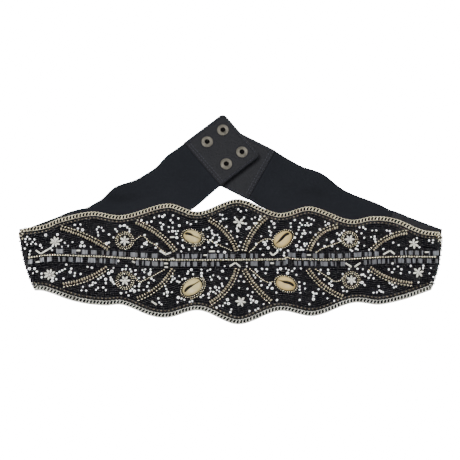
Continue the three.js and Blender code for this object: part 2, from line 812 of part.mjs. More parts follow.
function patchSolid(seamReach, tipReach, offset, holeRadius) {
  const low = offset - patchHalf;
  const high = offset + patchHalf;
  const inset = patchBevel;
  const outline = new THREE.Shape();
  outline.moveTo(-seamReach + inset, low + inset);
  outline.lineTo(tipReach - patchCorner, low + inset);
  outline.quadraticCurveTo(tipReach - inset, low + inset, tipReach - inset, low + patchCorner);
  outline.lineTo(tipReach - inset, high - patchCorner);
  outline.quadraticCurveTo(tipReach - inset, high - inset, tipReach - patchCorner, high - inset);
  outline.lineTo(-seamReach + inset, high - inset);
  outline.closePath();
  const slab = new THREE.ExtrudeGeometry(outline, {
    depth: patchThickness - 2 * patchBevel,
    bevelThickness: patchBevel,
    bevelSize: patchBevel,
    bevelSegments: 1,
    curveSegments: 3,
  });
  slab.translate(0, 0, patchBevel);
  const slotHeight = elasticThickness + 2 * clearance;
  const slot = new THREE.BoxGeometry(slotDepth * 2, patchHalf * 3, slotHeight);
  slot.translate(-seamReach, offset, plyThickness + slotHeight / 2);
  let solid = toSolid(slab).subtract(toSolid(slot));
  for (const place of snapPlaces) {
    const hole = new THREE.CylinderGeometry(holeRadius, holeRadius, patchThickness * 3, roundSides);
    hole.rotateX(Math.PI / 2);
    hole.translate(place.x, place.y, 0);
    solid = solid.subtract(toSolid(hole));
  }
  return toGeometry(solid);
}

function turnedSolid(profile) {
  const points = profile.map(([radius, height]) => new THREE.Vector2(radius, height));
  const turned = new THREE.LatheGeometry(points, roundSides);
  turned.rotateX(Math.PI / 2);
  return turnedOut(merged(turned));
}

function snapSolid() {
  // Ring on the face, barrel through the patch and socket on its back. Zero is the patch's bottom.
  const top = patchThickness + clearance + ringHeight;
  const web = -clearance - socketHeight + webHeight;
  return turnedSolid([
    [0, web],
    [socketHollow, web],
    [socketHollow, -clearance - socketHeight],
    [socketRadius, -clearance - socketHeight],
    [socketRadius, -clearance],
    [barrelRadius, -clearance],
    [barrelRadius, patchThickness + clearance],
    [ringRadius, patchThickness + clearance],
    [ringRadius, top - ringHeight / 2],
    [(ringRadius + ringHole) / 2, top],
    [ringHole, top - ringHeight / 4],
    [ringHole, -clearance],
    [0, -clearance],
  ]);
}

function studSolid() {
  // Cap on the back, post through the patch, base and button on the face.
  const base = patchThickness + clearance;
  return turnedSolid([
    [0, -clearance - capHeight],
    [capRadius, -clearance - capHeight],
    [capRadius, -clearance],
    [postRadius, -clearance],
    [postRadius, base],
    [baseRadius, base],
    [baseRadius, base + baseHeight],
    [postRadius, base + baseHeight],
    [socketHollow - clearance, base + baseHeight + buttonHeight * buttonBulge],
    [postRadius, base + baseHeight + buttonHeight],
    [0, base + baseHeight + buttonHeight],
  ]);
}

function addClasp() {
  const leatherette = finish(0x303033, 0.55, 0);
  const nickel = finish(0x9a9183, 0.35, 1);
  const leftGroup = new THREE.Group();
  leftGroup.position.set(claspCentre.x, claspCentre.y, leftPatchBottom);
  leftGroup.rotation.z = leftHeading;
  const rightGroup = new THREE.Group();
  rightGroup.position.set(claspCentre.x, claspCentre.y, rightPatchBottom);
  rightGroup.rotation.z = rightHeading;
  belt.add(leftGroup, rightGroup);
  const leftPatch = patchSolid(leftSeamReach, leftTipReach, 0, barrelRadius + clearance);
  const rightPatch = patchSolid(rightSeamReach, rightTipReach, rightOffset, postRadius + clearance);
  addMesh("patch_left", leftPatch, leatherette, leftGroup);
  addMesh("patch_right", rightPatch, leatherette, rightGroup);
  snapPlaces.forEach((place, i) => {
    const snap = addMesh("snap_" + (i + 1), snapSolid(), nickel, leftGroup);
    snap.position.set(place.x, place.y, 0);
    const stud = addMesh("stud_" + (i + 1), studSolid(), nickel, rightGroup);
    stud.position.set(place.x, place.y, 0);
  });
}

addPanel();
addLeaves();
addStars();
addShells();
addCentreLine();
addStraps();
addClasp();

// The origin is under the middle of the whole belt, on the floor.
const extent = new THREE.Box3().setFromObject(belt, true);
const middle = extent.getCenter(new THREE.Vector3());
belt.position.set(-middle.x, -middle.y, -extent.min.z);

export default belt;
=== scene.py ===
"""Beaded belt: beads, curb chains, cowrie shells, cloth, leatherette and snaps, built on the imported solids.

The tables and curves are in millimetres from the middle of the panel; meshes are made in metres.
"""

import math

import bpy
import numpy as np
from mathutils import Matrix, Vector
from mathutils.bvhtree import BVHTree


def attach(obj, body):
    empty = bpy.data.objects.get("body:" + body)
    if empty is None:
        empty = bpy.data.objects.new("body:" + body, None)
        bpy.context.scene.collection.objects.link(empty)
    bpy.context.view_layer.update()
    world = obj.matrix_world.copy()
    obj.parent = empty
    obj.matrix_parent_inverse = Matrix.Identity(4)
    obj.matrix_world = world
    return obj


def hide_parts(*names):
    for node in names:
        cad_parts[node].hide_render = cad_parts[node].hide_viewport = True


bl_info = {
    "name": "Beaded belt",
    "version": (1, 0, 0),
    "blender": (4, 5, 0),
    "location": "View3D > Sidebar > Belt",
    "description": "Builds a beaded belt with its beads, chains, shells, straps and clasp",
    "category": "Object",
}

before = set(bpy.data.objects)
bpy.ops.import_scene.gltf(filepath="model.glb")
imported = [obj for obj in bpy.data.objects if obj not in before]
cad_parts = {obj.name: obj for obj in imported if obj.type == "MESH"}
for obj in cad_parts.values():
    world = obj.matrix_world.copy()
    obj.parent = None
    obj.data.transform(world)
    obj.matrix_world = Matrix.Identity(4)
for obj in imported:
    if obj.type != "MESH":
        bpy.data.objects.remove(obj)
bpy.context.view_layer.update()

MM = 0.001
# The middle of the panel, seen from the part's origin
PANEL_MIDDLE = (-1.006, -43.460)

# The camera: how high it looks down from, how far it stands and where it aims, in the panel's own axes
PHOTO_SIZE = 460
CAMERA_TILT = math.radians(72)
CAMERA_DISTANCE = 1500.0
CAMERA_AIM = (0.0, 32.034)
SENSOR = 36.0

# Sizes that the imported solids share
HALF_LENGTH = 211.0
HALF_DEPTH = 65.5
END_BOW = 3.0
BACKING = 1.6
FIELD_TOP = 3.5
MOTIF_MIDDLE = 4.5
CHAIN_WIDTH = 4.3
CHAIN_MIDDLE = 3.0
ELASTIC_WIDTH = 59.0
ELASTIC_THICKNESS = 1.0
TAB_THICKNESS = 1.4
TAB_LENGTH = 58.0
TAB_LEAF = 24.0
TAB_HEADING = math.radians(22)
TAB_RISE = 3.8
FOLD_RADIUS = 1.3
LAP_LENGTH = 10.0
LAP_RAMP = 6.0
ELASTIC_STACK = 1.3
WAVE_HEIGHT = 8.0
WAVE_MARGIN = 11.0
WAVE_REACH = 12.0
PATCH_THICKNESS = 3.2
PATCH_CORNER = 5.0
PATCH_HALF = 29.9
SNAP_ALONG = 20.4
SNAP_ACROSS = 30.7
CLASP_TURN = math.radians(5.4)
CLASP_SHIFT = -5.5
CLASP_GAP = 1.7
RIGHT_PATCH_BOTTOM = 1.1
LEFT_PATCH_BOTTOM = 7.7
SLOT_RISE = 1.1

# Outline of the panel: (share of half the length, share of half the depth)
TOP_EDGE = (
    (-0.996, 0.48), (-0.88, 0.533), (-0.81, 0.633), (-0.655, 0.755), (-0.512, 0.705),
    (-0.295, 0.891), (-0.152, 0.767), (0.038, 0.969), (0.232, 0.738), (0.38, 0.842),
    (0.566, 0.633), (0.673, 0.678), (0.777, 0.641), (0.907, 0.453), (0.997, 0.418),
)
LOW_EDGE = (
    (-0.912, -0.485), (-0.868, -0.495), (-0.726, -0.65), (-0.586, -0.708), (-0.502, -0.701),
    (-0.371, -0.867), (-0.288, -0.895), (-0.144, -0.785), (0.037, -0.999), (0.228, -0.794),
    (0.39, -0.87), (0.577, -0.666), (0.698, -0.697), (0.81, -0.627), (0.94, -0.478),
)

# Waves of each strap: (run from tab to patch, shift of the outer edge, lift of the outer edge)
LEFT_WAVES = (
    (0, 0, 0), (0.1, -0.035, 0), (0.2, -0.015, 0.15), (0.37, 0.035, 0.85), (0.58, -0.01, 0.15),
    (0.7, -0.02, 0.25), (0.85, 0.02, 0.6), (1, 0, 0),
)
RIGHT_WAVES = (
    (0, 0, 0), (0.12, 0.02, 0), (0.4, -0.03, 0.15), (0.62, 0.015, 0.8), (0.8, -0.02, 0.2), (1, 0, 0),
)


def rise_at(rows, along):
    """A smooth curve through the rows of an edge table."""
    last = len(rows) - 1
    k = 0
    while k < last - 1 and along > rows[k + 1][0]:
        k += 1

    def slope(i):
        low, high = rows[max(i - 1, 0)], rows[min(i + 1, last)]
        return (high[1] - low[1]) / (high[0] - low[0])

    span = rows[k + 1][0] - rows[k][0]
    t = min(max((along - rows[k][0]) / span, 0.0), 1.0)
    return (
        rows[k][1] * (2 * t**3 - 3 * t**2 + 1)
        + slope(k) * span * (t**3 - 2 * t**2 + t)
        + rows[k + 1][1] * (3 * t**2 - 2 * t**3)
        + slope(k + 1) * span * (t**3 - t**2)
    )


def on_panel(x, y):
    """A place given as shares of half the panel's length and depth, in millimetres."""
    return x * HALF_LENGTH, y * HALF_DEPTH


def edge_point(rows, u):
    """A point of a long edge, from its left end to its right one."""
    along = rows[0][0] + (rows[-1][0] - rows[0][0]) * u
    return np.array(on_panel(along, rise_at(rows, along)))


def edge_rise(rows, x):
    """How far up a long edge runs at a place along the panel."""
    return rise_at(rows, x / HALF_LENGTH) * HALF_DEPTH


def panel_point(u, v):
    """A point of the panel from its left end to its right one, and from its low edge to its top one."""
    point = edge_point(LOW_EDGE, u) * (1 - v) + edge_point(TOP_EDGE, u) * v
    bow = END_BOW * math.sin(math.pi * v) * (-1 if u < 0.5 else 1) * abs(2 * u - 1) ** 6
    return point + np.array((bow, 0.0))


def end_at(side, y):
    """Where the left (-1) or right (+1) end of the panel runs at a height up the panel."""
    u = 0.0 if side < 0 else 1.0
    low, top = edge_point(LOW_EDGE, u), edge_point(TOP_EDGE, u)
    v = min(max((y - low[1]) / (top[1] - low[1]), 0.0), 1.0)
    return low[0] + (top[0] - low[0]) * v + side * END_BOW * math.sin(math.pi * v)


def at_pixel(px, py, z):
    """Where the camera's ray through a pixel of the photograph meets a height, in the panel's axes."""
    a, b = (px - PHOTO_SIZE / 2) / CAMERA_DISTANCE, (PHOTO_SIZE / 2 - py) / CAMERA_DISTANCE
    up, flat = math.sin(CAMERA_TILT), math.cos(CAMERA_TILT)
    dy = (b * CAMERA_DISTANCE - b * up * z - flat * z) / (up - b * flat)
    return a * (CAMERA_DISTANCE + flat * dy - up * z), dy + CAMERA_AIM[1]


def read_pairs(text):
    """Pairs of numbers that are written as 1,2 3,4."""
    return [tuple(float(n) for n in pair.split(",")) for pair in text.split()]


def resampled(points, pitch):
    """Points at an even pitch along a line through the given ones."""
    points = np.asarray(points, float)
    steps = np.hypot(*np.diff(points[:, :2], axis=0).T)
    run = np.concatenate(([0.0], np.cumsum(steps)))
    count = max(int(round(run[-1] / pitch)), 1)
    at = np.linspace(0, run[-1], count + 1)
    return np.stack([np.interp(at, run, points[:, k]) for k in range(points.shape[1])], 1)


def rounded_line(points, steps=6):
    """A Catmull-Rom curve through the points, as a dense line."""
    p = np.asarray(points, float)
    p = np.vstack((2 * p[0] - p[1], p, 2 * p[-1] - p[-2]))
    out = []
    for k in range(1, len(p) - 2):
        for t in np.arange(steps) / steps:
            out.append(
                0.5 * (2 * p[k] + (p[k + 1] - p[k - 1]) * t
                       + (2 * p[k - 1] - 5 * p[k] + 4 * p[k + 1] - p[k + 2]) * t**2
                       + (3 * p[k] - p[k - 1] - 3 * p[k + 1] + p[k + 2]) * t**3)
            )
    out.append(p[-2])
    return np.array(out)


def offset_line(points, distance):
    """A line moved to its left by a distance."""
    p = np.asarray(points, float)
    run = np.gradient(p, axis=0)
    run /= np.hypot(run[:, 0], run[:, 1])[:, None]
    return p + np.stack((-run[:, 1], run[:, 0]), 1) * distance


class PanelSurface:
    """The height of the underside of the panel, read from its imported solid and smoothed."""

    STEP = 2.5
    REACH = (220, 75)
    SOLID_ENDS = (-195.0, 203.0)
    RIM = 0.02

    def __init__(self):
        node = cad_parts["panel_backing"].data
        tree = BVHTree.FromPolygons([v.co for v in node.vertices], [tuple(p.vertices) for p in node.polygons])
        self.xs, self.ys = (np.arange(-reach, reach + 1, self.STEP) for reach in self.REACH)
        rows = []
        for x in self.xs:
            u = min(max((x + HALF_LENGTH) / (2 * HALF_LENGTH), 0.0), 1.0)
            low, top = panel_point(u, self.RIM)[1], panel_point(u, 1 - self.RIM)[1]
            row = []
            for y in self.ys:
                px, py = min(max(x, self.SOLID_ENDS[0]), self.SOLID_ENDS[1]), min(max(y, low), top)
                origin = Vector(((px + PANEL_MIDDLE[0]) * MM, (py + PANEL_MIDDLE[1]) * MM, 0.1))
                hit = tree.ray_cast(origin, Vector((0, 0, -1)))[0]
                row.append(hit.z / MM - BACKING if hit else math.nan)
            rows.append(row)
        lift = np.array(rows)
        lift = np.where(np.isnan(lift), np.nanmean(lift), lift)
        for _ in range(3):
            lift = self.blurred(lift)
        self.lift = lift

    @staticmethod
    def blurred(grid):
        padded = np.pad(grid, 1, mode="edge")
        mixed = (padded[:-2] + 2 * padded[1:-1] + padded[2:]) / 4
        return (mixed[:, :-2] + 2 * mixed[:, 1:-1] + mixed[:, 2:]) / 4

    def at(self, x, y):
        """The height of the underside at places on the panel."""
        i = np.clip((np.asarray(x, float) - self.xs[0]) / self.STEP, 0, len(self.xs) - 1.001)
        j = np.clip((np.asarray(y, float) - self.ys[0]) / self.STEP, 0, len(self.ys) - 1.001)
        a, b = i.astype(int), j.astype(int)
        s, t = i - a, j - b
        low = self.lift[a, b] * (1 - s) + self.lift[a + 1, b] * s
        high = self.lift[a, b + 1] * (1 - s) + self.lift[a + 1, b + 1] * s
        return low * (1 - t) + high * t

    def axes(self, x, y, angle):
        """Axes of pieces lying on the panel: along their length, across it, and away from the cloth."""
        x, y, angle = np.broadcast_arrays(np.asarray(x, float), np.asarray(y, float), np.asarray(angle, float))
        near = 1.5
        gx = (self.at(x + near, y) - self.at(x - near, y)) / (2 * near)
        gy = (self.at(x, y + near) - self.at(x, y - near)) / (2 * near)
        along = np.stack((np.cos(angle), np.sin(angle), gx * np.cos(angle) + gy * np.sin(angle)), -1)
        away = np.stack((-gx, -gy, np.ones_like(gx)), -1)
        along /= np.linalg.norm(along, axis=-1, keepdims=True)
        away /= np.linalg.norm(away, axis=-1, keepdims=True)
        return np.stack((along, np.cross(away, along), away), -1)


surface = PanelSurface()


def barrel(length, radius, sides, rings):
    """An open turned shape along X. rings are (share of half the length, share of the radius)."""
    turn = np.arange(sides) * 2 * math.pi / sides
    verts = [
        (s * length / 2, r * radius * math.cos(t), r * radius * math.sin(t)) for s, r in rings for t in turn
    ]
    quads = [
        (k * sides + i, k * sides + (i + 1) % sides, (k + 1) * sides + (i + 1) % sides, (k + 1) * sides + i)
        for k in range(len(rings) - 1)
        for i in range(sides)
    ]
    return np.array(verts), np.array(quads)[:, ::-1]


# Profiles of the beads, for barrel
GROUND_BEAD = ((-0.96, 0.42), (-0.62, 1.0), (0.62, 1.0), (0.96, 0.42))
ROUND_BEAD = ((-0.86, 0.4), (-0.66, 0.8), (0.0, 1.0), (0.66, 0.8), (0.86, 0.4))
TUBE_BEAD = ((-1.0, 0.55), (-0.97, 1.0), (0.97, 1.0), (1.0, 0.55))
RAY_BEAD = ((-1.0, 0.2), (-0.5, 0.66), (0.0, 1.0), (0.45, 0.86), (0.8, 0.5), (0.98, 0.18))
OPEN_BEAD = ((0.0, 0.5), (-0.85, 0.58), (-0.8, 0.84), (0.0, 1.0), (0.8, 0.84), (0.85, 0.58), (0.0, 0.5))


def on_end(shape):
    """A shape along X turned to stand on its end."""
    verts, quads = shape
    return verts[:, [2, 1, 0]] * (1, -1, 1), quads


def spread(shape, centres, axes, scales=1.0):
    """Copies of a shape at each centre, as one array of corners and one of faces."""
    verts, quads = shape
    centres = np.asarray(centres, float)
    scales = np.broadcast_to(np.asarray(scales, float).reshape(-1, 1, 1), (len(centres), 1, 1))
    placed = np.einsum("nij,kj->nki", axes, verts) * scales + centres[:, None, :]
    faces = quads[None] + (np.arange(len(centres)) * len(verts))[:, None, None]
    return placed.reshape(-1, 3), faces.reshape(-1, quads.shape[1])


def make_mesh(name, verts, faces, tints=None, uv=None, flat_shaded=False):
    """A mesh object from corners in the panel's millimetres. tints and uv hold a value for each corner."""
    verts = (np.asarray(verts, float) + (*PANEL_MIDDLE, 0.0)) * MM
    mesh = bpy.data.meshes.new(name)
    if isinstance(faces, np.ndarray):
        mesh.vertices.add(len(verts))
        mesh.vertices.foreach_set("co", verts.astype(np.float32).ravel())
        mesh.loops.add(faces.size)
        mesh.loops.foreach_set("vertex_index", faces.astype(np.int32).ravel())
        mesh.polygons.add(len(faces))
        mesh.polygons.foreach_set("loop_start", np.arange(0, faces.size, faces.shape[1], dtype=np.int32))
        mesh.update(calc_edges=True)
    else:
        mesh.from_pydata(verts.tolist(), [], [list(f) for f in faces])
    mesh.validate()
    mesh.polygons.foreach_set("use_smooth", np.full(len(mesh.polygons), not flat_shaded))
    if tints is not None:
        layer = mesh.attributes.new("tint", "FLOAT", "POINT")
        layer.data.foreach_set("value", np.asarray(tints, np.float32).ravel())
    if uv is not None:
        layer = mesh.uv_layers.new(name="strap")
        index = np.zeros(len(mesh.loops), np.int32)
        mesh.loops.foreach_get("vertex_index", index)
        layer.data.foreach_set("uv", (np.asarray(uv, np.float32)[index]).ravel())
    piece = bpy.data.objects.new(name, mesh)
    bpy.context.scene.collection.objects.link(piece)
    return piece


def finish_piece(piece, slot, material, replaced=()):
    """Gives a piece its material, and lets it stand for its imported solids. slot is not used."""
    piece.data.materials.append(material)
    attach(piece, "root")
    if replaced:
        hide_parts(*replaced)
    return piece


def bead_piece(name, shape, x, y, height, angle, rng, sizes=0.05, turn=0.12, lift=0.08, flat_shaded=False):
    """Like beads sewn on the panel at a height over its underside, each a little different."""
    x, y = np.asarray(x, float), np.asarray(y, float)
    angle = np.broadcast_to(np.asarray(angle, float), x.shape) + rng.normal(0, turn, x.shape)
    scales = 1 + rng.uniform(-sizes, sizes, x.shape)
    axes = surface.axes(x, y, angle)
    centres = np.stack((x, y, surface.at(x, y) + height + rng.uniform(-lift, lift, x.shape)), 1)
    verts, faces = spread(shape, centres, axes, scales)
    tints = np.repeat(rng.uniform(0, 1, len(x)), len(shape[0]))
    return make_mesh(name, verts, faces, tints, flat_shaded=flat_shaded)


def length_property(name, description, default):
    return bpy.props.FloatProperty(
        name=name, description=description, default=default, min=0.0001, unit="LENGTH"
    )


def colour_property(name, description, default):
    return bpy.props.FloatVectorProperty(
        name=name, description=description, default=default, size=3, min=0, max=1, subtype="COLOR"
    )


class BeltSizes(bpy.types.PropertyGroup):
    """Sizes of the beads, bugles, chain links and stitches."""

    ground_width: length_property("Ground bead", "Width of a black seed bead", 0.00205)
    ground_length: length_property("Ground bead length", "Length of a black seed bead", 0.00155)
    row_pitch: length_property("Row pitch", "Distance between rows of black seed beads", 0.0021)
    gold_width: length_property("Gold bead", "Width of a small gold bead", 0.00175)
    bronze_width: length_property("Bronze bead", "Width of the larger bronze beads of the leaves", 0.0024)
    tendril_width: length_property("Tendril bead", "Width of the beads of the fine lines", 0.0015)
    white_width: length_property("White bead", "Width of a scattered white bead", 0.00225)
    bugle_length: length_property("Bugle length", "Length of a grey bugle bead", 0.0047)
    bugle_width: length_property("Bugle width", "Width of a grey bugle bead", 0.0014)
    link_pitch: length_property("Link pitch", "Distance from one link of a chain to the next", 0.00335)
    link_wire: length_property("Link wire", "Width of the wire of a chain link", 0.00074)
    stitch_length: length_property("Stitch length", "Length of a stitch of the leatherette", 0.0024)
    stitch_gap: length_property("Stitch gap", "Gap between two stitches", 0.0009)


class BeltColours(bpy.types.PropertyGroup):
    """Colours of the beads, metals, shells, cloth and leatherette."""

    black_glass: colour_property("Black glass", "Colour of the black seed beads", (0.0007, 0.0007, 0.001))
    gold: colour_property("Pale gold", "Colour of the gold beads and the upper chain", (0.47, 0.43, 0.315))
    silver: colour_property("Silver", "Colour of the lower chain and the stars", (0.52, 0.51, 0.45))
    bronze: colour_property("Bronze", "Colour of the larger beads of the leaves", (0.42, 0.365, 0.262))
    white: colour_property("White", "Colour of the scattered beads", (0.9, 0.9, 0.89))
    grey_glass: colour_property("Grey glass", "Colour of the bugle beads", (0.052, 0.056, 0.065))
    shell: colour_property("Shell", "Colour of the cowrie shells", (0.162, 0.128, 0.05))
    shell_light: colour_property("Shell light", "Colour of the pale parts of the shells", (0.262, 0.218, 0.11))
    tan_shell: colour_property("Tan shell", "Colour of the two darker shells", (0.165, 0.123, 0.05))
    cloth: colour_property("Cloth", "Colour of the backing", (0.0009, 0.0009, 0.0013))
    elastic: colour_property("Elastic", "Colour of the straps", (0.0027, 0.003, 0.0038))
    leatherette: colour_property("Leatherette", "Colour of the tabs and patches", (0.002, 0.0021, 0.0027))
    nickel: colour_property("Nickel", "Colour of the snaps", (0.072, 0.067, 0.056))


def add_node(tree, kind, settings=None, **inputs):
    """A shader node. settings are its own options; inputs are values or sockets, by name or as i0, i1."""
    made = tree.nodes.new(kind)
    for key, value in (settings or {}).items():
        setattr(made, key, value)
    for key, value in inputs.items():
        socket = made.inputs[int(key[1:])] if key[1:].isdigit() else made.inputs[key.replace("_", " ")]
        if isinstance(value, bpy.types.NodeSocket):
            tree.links.new(value, socket)
        elif socket.type == "RGBA" and len(value) == 3:
            socket.default_value = (*value, 1)
        else:
            socket.default_value = value
    return made


def calculated(tree, operation, a, b=0.0, c=0.0):
    return add_node(tree, "ShaderNodeMath", {"operation": operation}, i0=a, i1=b, i2=c).outputs[0]


def blended(tree, share, a, b):
    mixer = add_node(tree, "ShaderNodeMix", {"data_type": "RGBA"}, i0=share, i6=a, i7=b)
    return mixer.outputs[2]


def corner_tint(tree):
    """The tint that a mesh holds for each of its corners."""
    return add_node(tree, "ShaderNodeAttribute", {"attribute_name": "tint"}).outputs["Fac"]


def object_place(tree):
    return add_node(tree, "ShaderNodeTexCoord").outputs["Object"]


def cloud_noise(tree, place, scale, detail, roughness=0.5):
    return add_node(
        tree, "ShaderNodeTexNoise", Vector=place, Scale=scale, Detail=detail, Roughness=roughness
    ).outputs[0]


def open_group(name, inputs, outputs):
    """A node group with named sockets. inputs are (name, kind, default)."""
    group = bpy.data.node_groups.new(name, "ShaderNodeTree")
    kinds = {"colour": "NodeSocketColor", "value": "NodeSocketFloat"}
    for label, kind, default in inputs:
        socket = group.interface.new_socket(name=label, in_out="INPUT", socket_type=kinds[kind])
        socket.default_value = default
    for label, kind in outputs:
        group.interface.new_socket(name=label, in_out="OUTPUT", socket_type=kinds[kind])
    return group, group.nodes.new("NodeGroupInput"), group.nodes.new("NodeGroupOutput")


def bead_tone_group():
    """Gives each bead its own depth of colour and polish, with a faint cloud inside it."""
    group, given, out = open_group(
        "bead_tone",
        [("Colour", "colour", (1, 1, 1, 1)), ("Deep Colour", "colour", (0, 0, 0, 1)),
         ("Spread", "value", 0.5), ("Polish", "value", 0.3)],
        [("Colour", "colour"), ("Roughness", "value")],
    )
    cloud = cloud_noise(group, object_place(group), 900.0, 2.0)
    tint = calculated(group, "MULTIPLY", corner_tint(group), 0.8)
    mixed = calculated(group, "MULTIPLY_ADD", cloud, 0.35, tint)
    share = calculated(group, "MULTIPLY", mixed, given.outputs["Spread"])
    group.links.new(
        blended(group, share, given.outputs["Colour"], given.outputs["Deep Colour"]), out.inputs["Colour"]
    )
    rough = calculated(group, "MULTIPLY_ADD", mixed, 0.12, given.outputs["Polish"])
    group.links.new(rough, out.inputs["Roughness"])
    return group


def tarnish_group():
    """Dulls a metal in soft patches, and puts fine scratches into its polish."""
    group, given, out = open_group(
        "tarnish",
        [("Colour", "colour", (1, 1, 1, 1)), ("Tarnish", "colour", (0, 0, 0, 1)),
         ("Patch Scale", "value", 60.0), ("Amount", "value", 0.4), ("Polish", "value", 0.3)],
        [("Colour", "colour"), ("Roughness", "value"), ("Height", "value")],
    )
    place = object_place(group)
    patches = cloud_noise(group, place, given.outputs["Patch Scale"], 4.0, 0.65)
    scratches = cloud_noise(group, place, 1600.0, 3.0)
    share = calculated(group, "MULTIPLY", patches, given.outputs["Amount"])
    shade = blended(group, share, given.outputs["Colour"], given.outputs["Tarnish"])
    group.links.new(shade, out.inputs["Colour"])
    rough = calculated(group, "MULTIPLY_ADD", scratches, 0.18, given.outputs["Polish"])
    group.links.new(calculated(group, "MULTIPLY_ADD", share, 0.3, rough), out.inputs["Roughness"])
    group.links.new(scratches, out.inputs["Height"])
    return group


def weave_group():
    """Threads that cross at right angles, along the sheet's own run, with painted shade between the raised threads,
    lint and uneven dye.
    """
    group, given, out = open_group(
        "weave",
        [("Colour", "colour", (1, 1, 1, 1)), ("Light Colour", "colour", (1, 1, 1, 1)),
         ("Warp Pitch", "value", 0.001), ("Weft Pitch", "value", 0.001), ("Lint", "value", 0.3)],
        [("Colour", "colour"), ("Height", "value")],
    )
    run = add_node(group, "ShaderNodeUVMap", {"uv_map": "strap"}).outputs[0]
    parts = add_node(group, "ShaderNodeSeparateXYZ", i0=run)
    waves = []
    for axis, pitch in ((0, "Warp Pitch"), (1, "Weft Pitch")):
        turns = calculated(group, "DIVIDE", parts.outputs[axis], given.outputs[pitch])
        wave = calculated(group, "SINE", calculated(group, "MULTIPLY", turns, 2 * math.pi))
        waves.append(calculated(group, "MULTIPLY_ADD", wave, 0.5, 0.5))
    crossed = calculated(group, "MULTIPLY", waves[0], waves[1])
    height = calculated(group, "ADD", crossed, calculated(group, "MULTIPLY", waves[0], 0.5))
    place = object_place(group)
    lint = cloud_noise(group, place, 420.0, 5.0, 0.7)
    dye = cloud_noise(group, place, 26.0, 3.0)
    share = calculated(group, "MULTIPLY", calculated(group, "MULTIPLY", lint, dye), given.outputs["Lint"])
    # Painted shade: the threads' raised crossings come out paler than the hollows between them
    share = calculated(group, "MULTIPLY_ADD", height, 0.25, calculated(group, "MULTIPLY", share, 2.0))
    share = add_node(group, "ShaderNodeClamp", Value=share).outputs[0]
    group.links.new(
        blended(group, share, given.outputs["Colour"], given.outputs["Light Colour"]), out.inputs["Colour"]
    )
    group.links.new(calculated(group, "MULTIPLY_ADD", lint, 0.5, height), out.inputs["Height"])
    return group


def open_material(name):
    material = bpy.data.materials.new(name)
    material.use_nodes = True
    tree = material.node_tree
    return material, tree, tree.nodes["Principled BSDF"]


def set_shader(tree, shader, **inputs):
    """Sets or links the sockets of a shader, by name with _ for each space."""
    for key, value in inputs.items():
        socket = shader.inputs[key.replace("_", " ")]
        if isinstance(value, bpy.types.NodeSocket):
            tree.links.new(value, socket)
        elif socket.type == "RGBA" and len(value) == 3:
            socket.default_value = (*value, 1)
        else:
            socket.default_value = value


def use_group(tree, group, **inputs):
    return add_node(tree, "ShaderNodeGroup", {"node_tree": group}, **inputs)


def bumped(tree, height, distance, strength=1.0):
    return add_node(tree, "ShaderNodeBump", Height=height, Distance=distance, Strength=strength).outputs[0]


def bead_material(name, group, colour, deep, spread=0.5, polish=0.2, **shader_inputs):
    """Glass or metal beads that differ from one to the next, between a colour and a deeper one."""
    material, tree, shader = open_material(name)
    tone = use_group(tree, group, Colour=colour, Deep_Colour=deep, Spread=spread, Polish=polish)
    set_shader(
        tree, shader, Base_Color=tone.outputs["Colour"], Roughness=tone.outputs["Roughness"], **shader_inputs
    )
    return material


# Painted shade: near black in the recessed holes of the snaps
HOLE_SHADE_COLOUR = (0.002, 0.002, 0.002)
# Painted shade: near black in the opening of the shells' slits
SLIT_SHADE_COLOUR = (0.0012, 0.0009, 0.0007)


def metal_material(name, group, colour, dull, scale, amount, polish, depth=0.00002, shaded_hole=False):
    """A dulled metal. One with a shaded hole takes painted shade, near black, where the corners' tint says so."""
    material, tree, shader = open_material(name)
    tone = use_group(
        tree, group, Colour=colour, Tarnish=dull, Patch_Scale=scale, Amount=amount, Polish=polish
    )
    shade = tone.outputs["Colour"]
    if shaded_hole:
        # Painted shade: the snaps' holes go near black
        shade = blended(tree, corner_tint(tree), shade, HOLE_SHADE_COLOUR)
    set_shader(
        tree, shader, Base_Color=shade, Roughness=tone.outputs["Roughness"], Metallic=1.0,
        Normal=bumped(tree, tone.outputs["Height"], depth, 0.4),
    )
    return material


def woven_material(name, group, colour, light, warp, weft, lint, depth):
    """A woven cloth with threads at the pitches warp and weft."""
    material, tree, shader = open_material(name)
    tone = use_group(
        tree, group, Colour=colour, Light_Colour=light, Warp_Pitch=warp, Weft_Pitch=weft, Lint=lint
    )
    set_shader(
        tree, shader, Base_Color=tone.outputs["Colour"], Roughness=0.85, Specular_IOR_Level=0.04,
        Normal=bumped(tree, tone.outputs["Height"], depth, 0.7),
    )
    return material


def deepened(colour, share):
    """A colour made deeper, or paler where the share is above one."""
    return tuple(c * share for c in colour)


def leatherette_material(colours):
    """Pebbled grain with painted shade in the hollows between the pebbles, and paler rubbed places."""
    material, tree, shader = open_material("leatherette")
    place = object_place(tree)
    pebbles = add_node(
        tree, "ShaderNodeTexVoronoi", {"feature": "SMOOTH_F1"}, Vector=place, Scale=620.0, Randomness=1.0
    ).outputs["Distance"]
    fine = cloud_noise(tree, place, 1500.0, 4.0)
    rubbed = cloud_noise(tree, place, 38.0, 5.0, 0.6)
    colour = tuple(colours.leatherette)
    # Painted shade: darker towards the hollows between the pebbles, paler on their tops
    base = blended(tree, pebbles, deepened(colour, 1.7), deepened(colour, 0.3))
    shade = blended(tree, calculated(tree, "MULTIPLY", rubbed, 0.6), base, deepened(colour, 2.1))
    height = calculated(tree, "MULTIPLY_ADD", pebbles, -1.0, calculated(tree, "MULTIPLY", fine, 0.4))
    set_shader(
        tree, shader, Base_Color=shade, Roughness=calculated(tree, "MULTIPLY_ADD", rubbed, 0.25, 0.42),
        Specular_IOR_Level=0.06, Normal=bumped(tree, height, 0.0003, 0.9),
    )
    return material


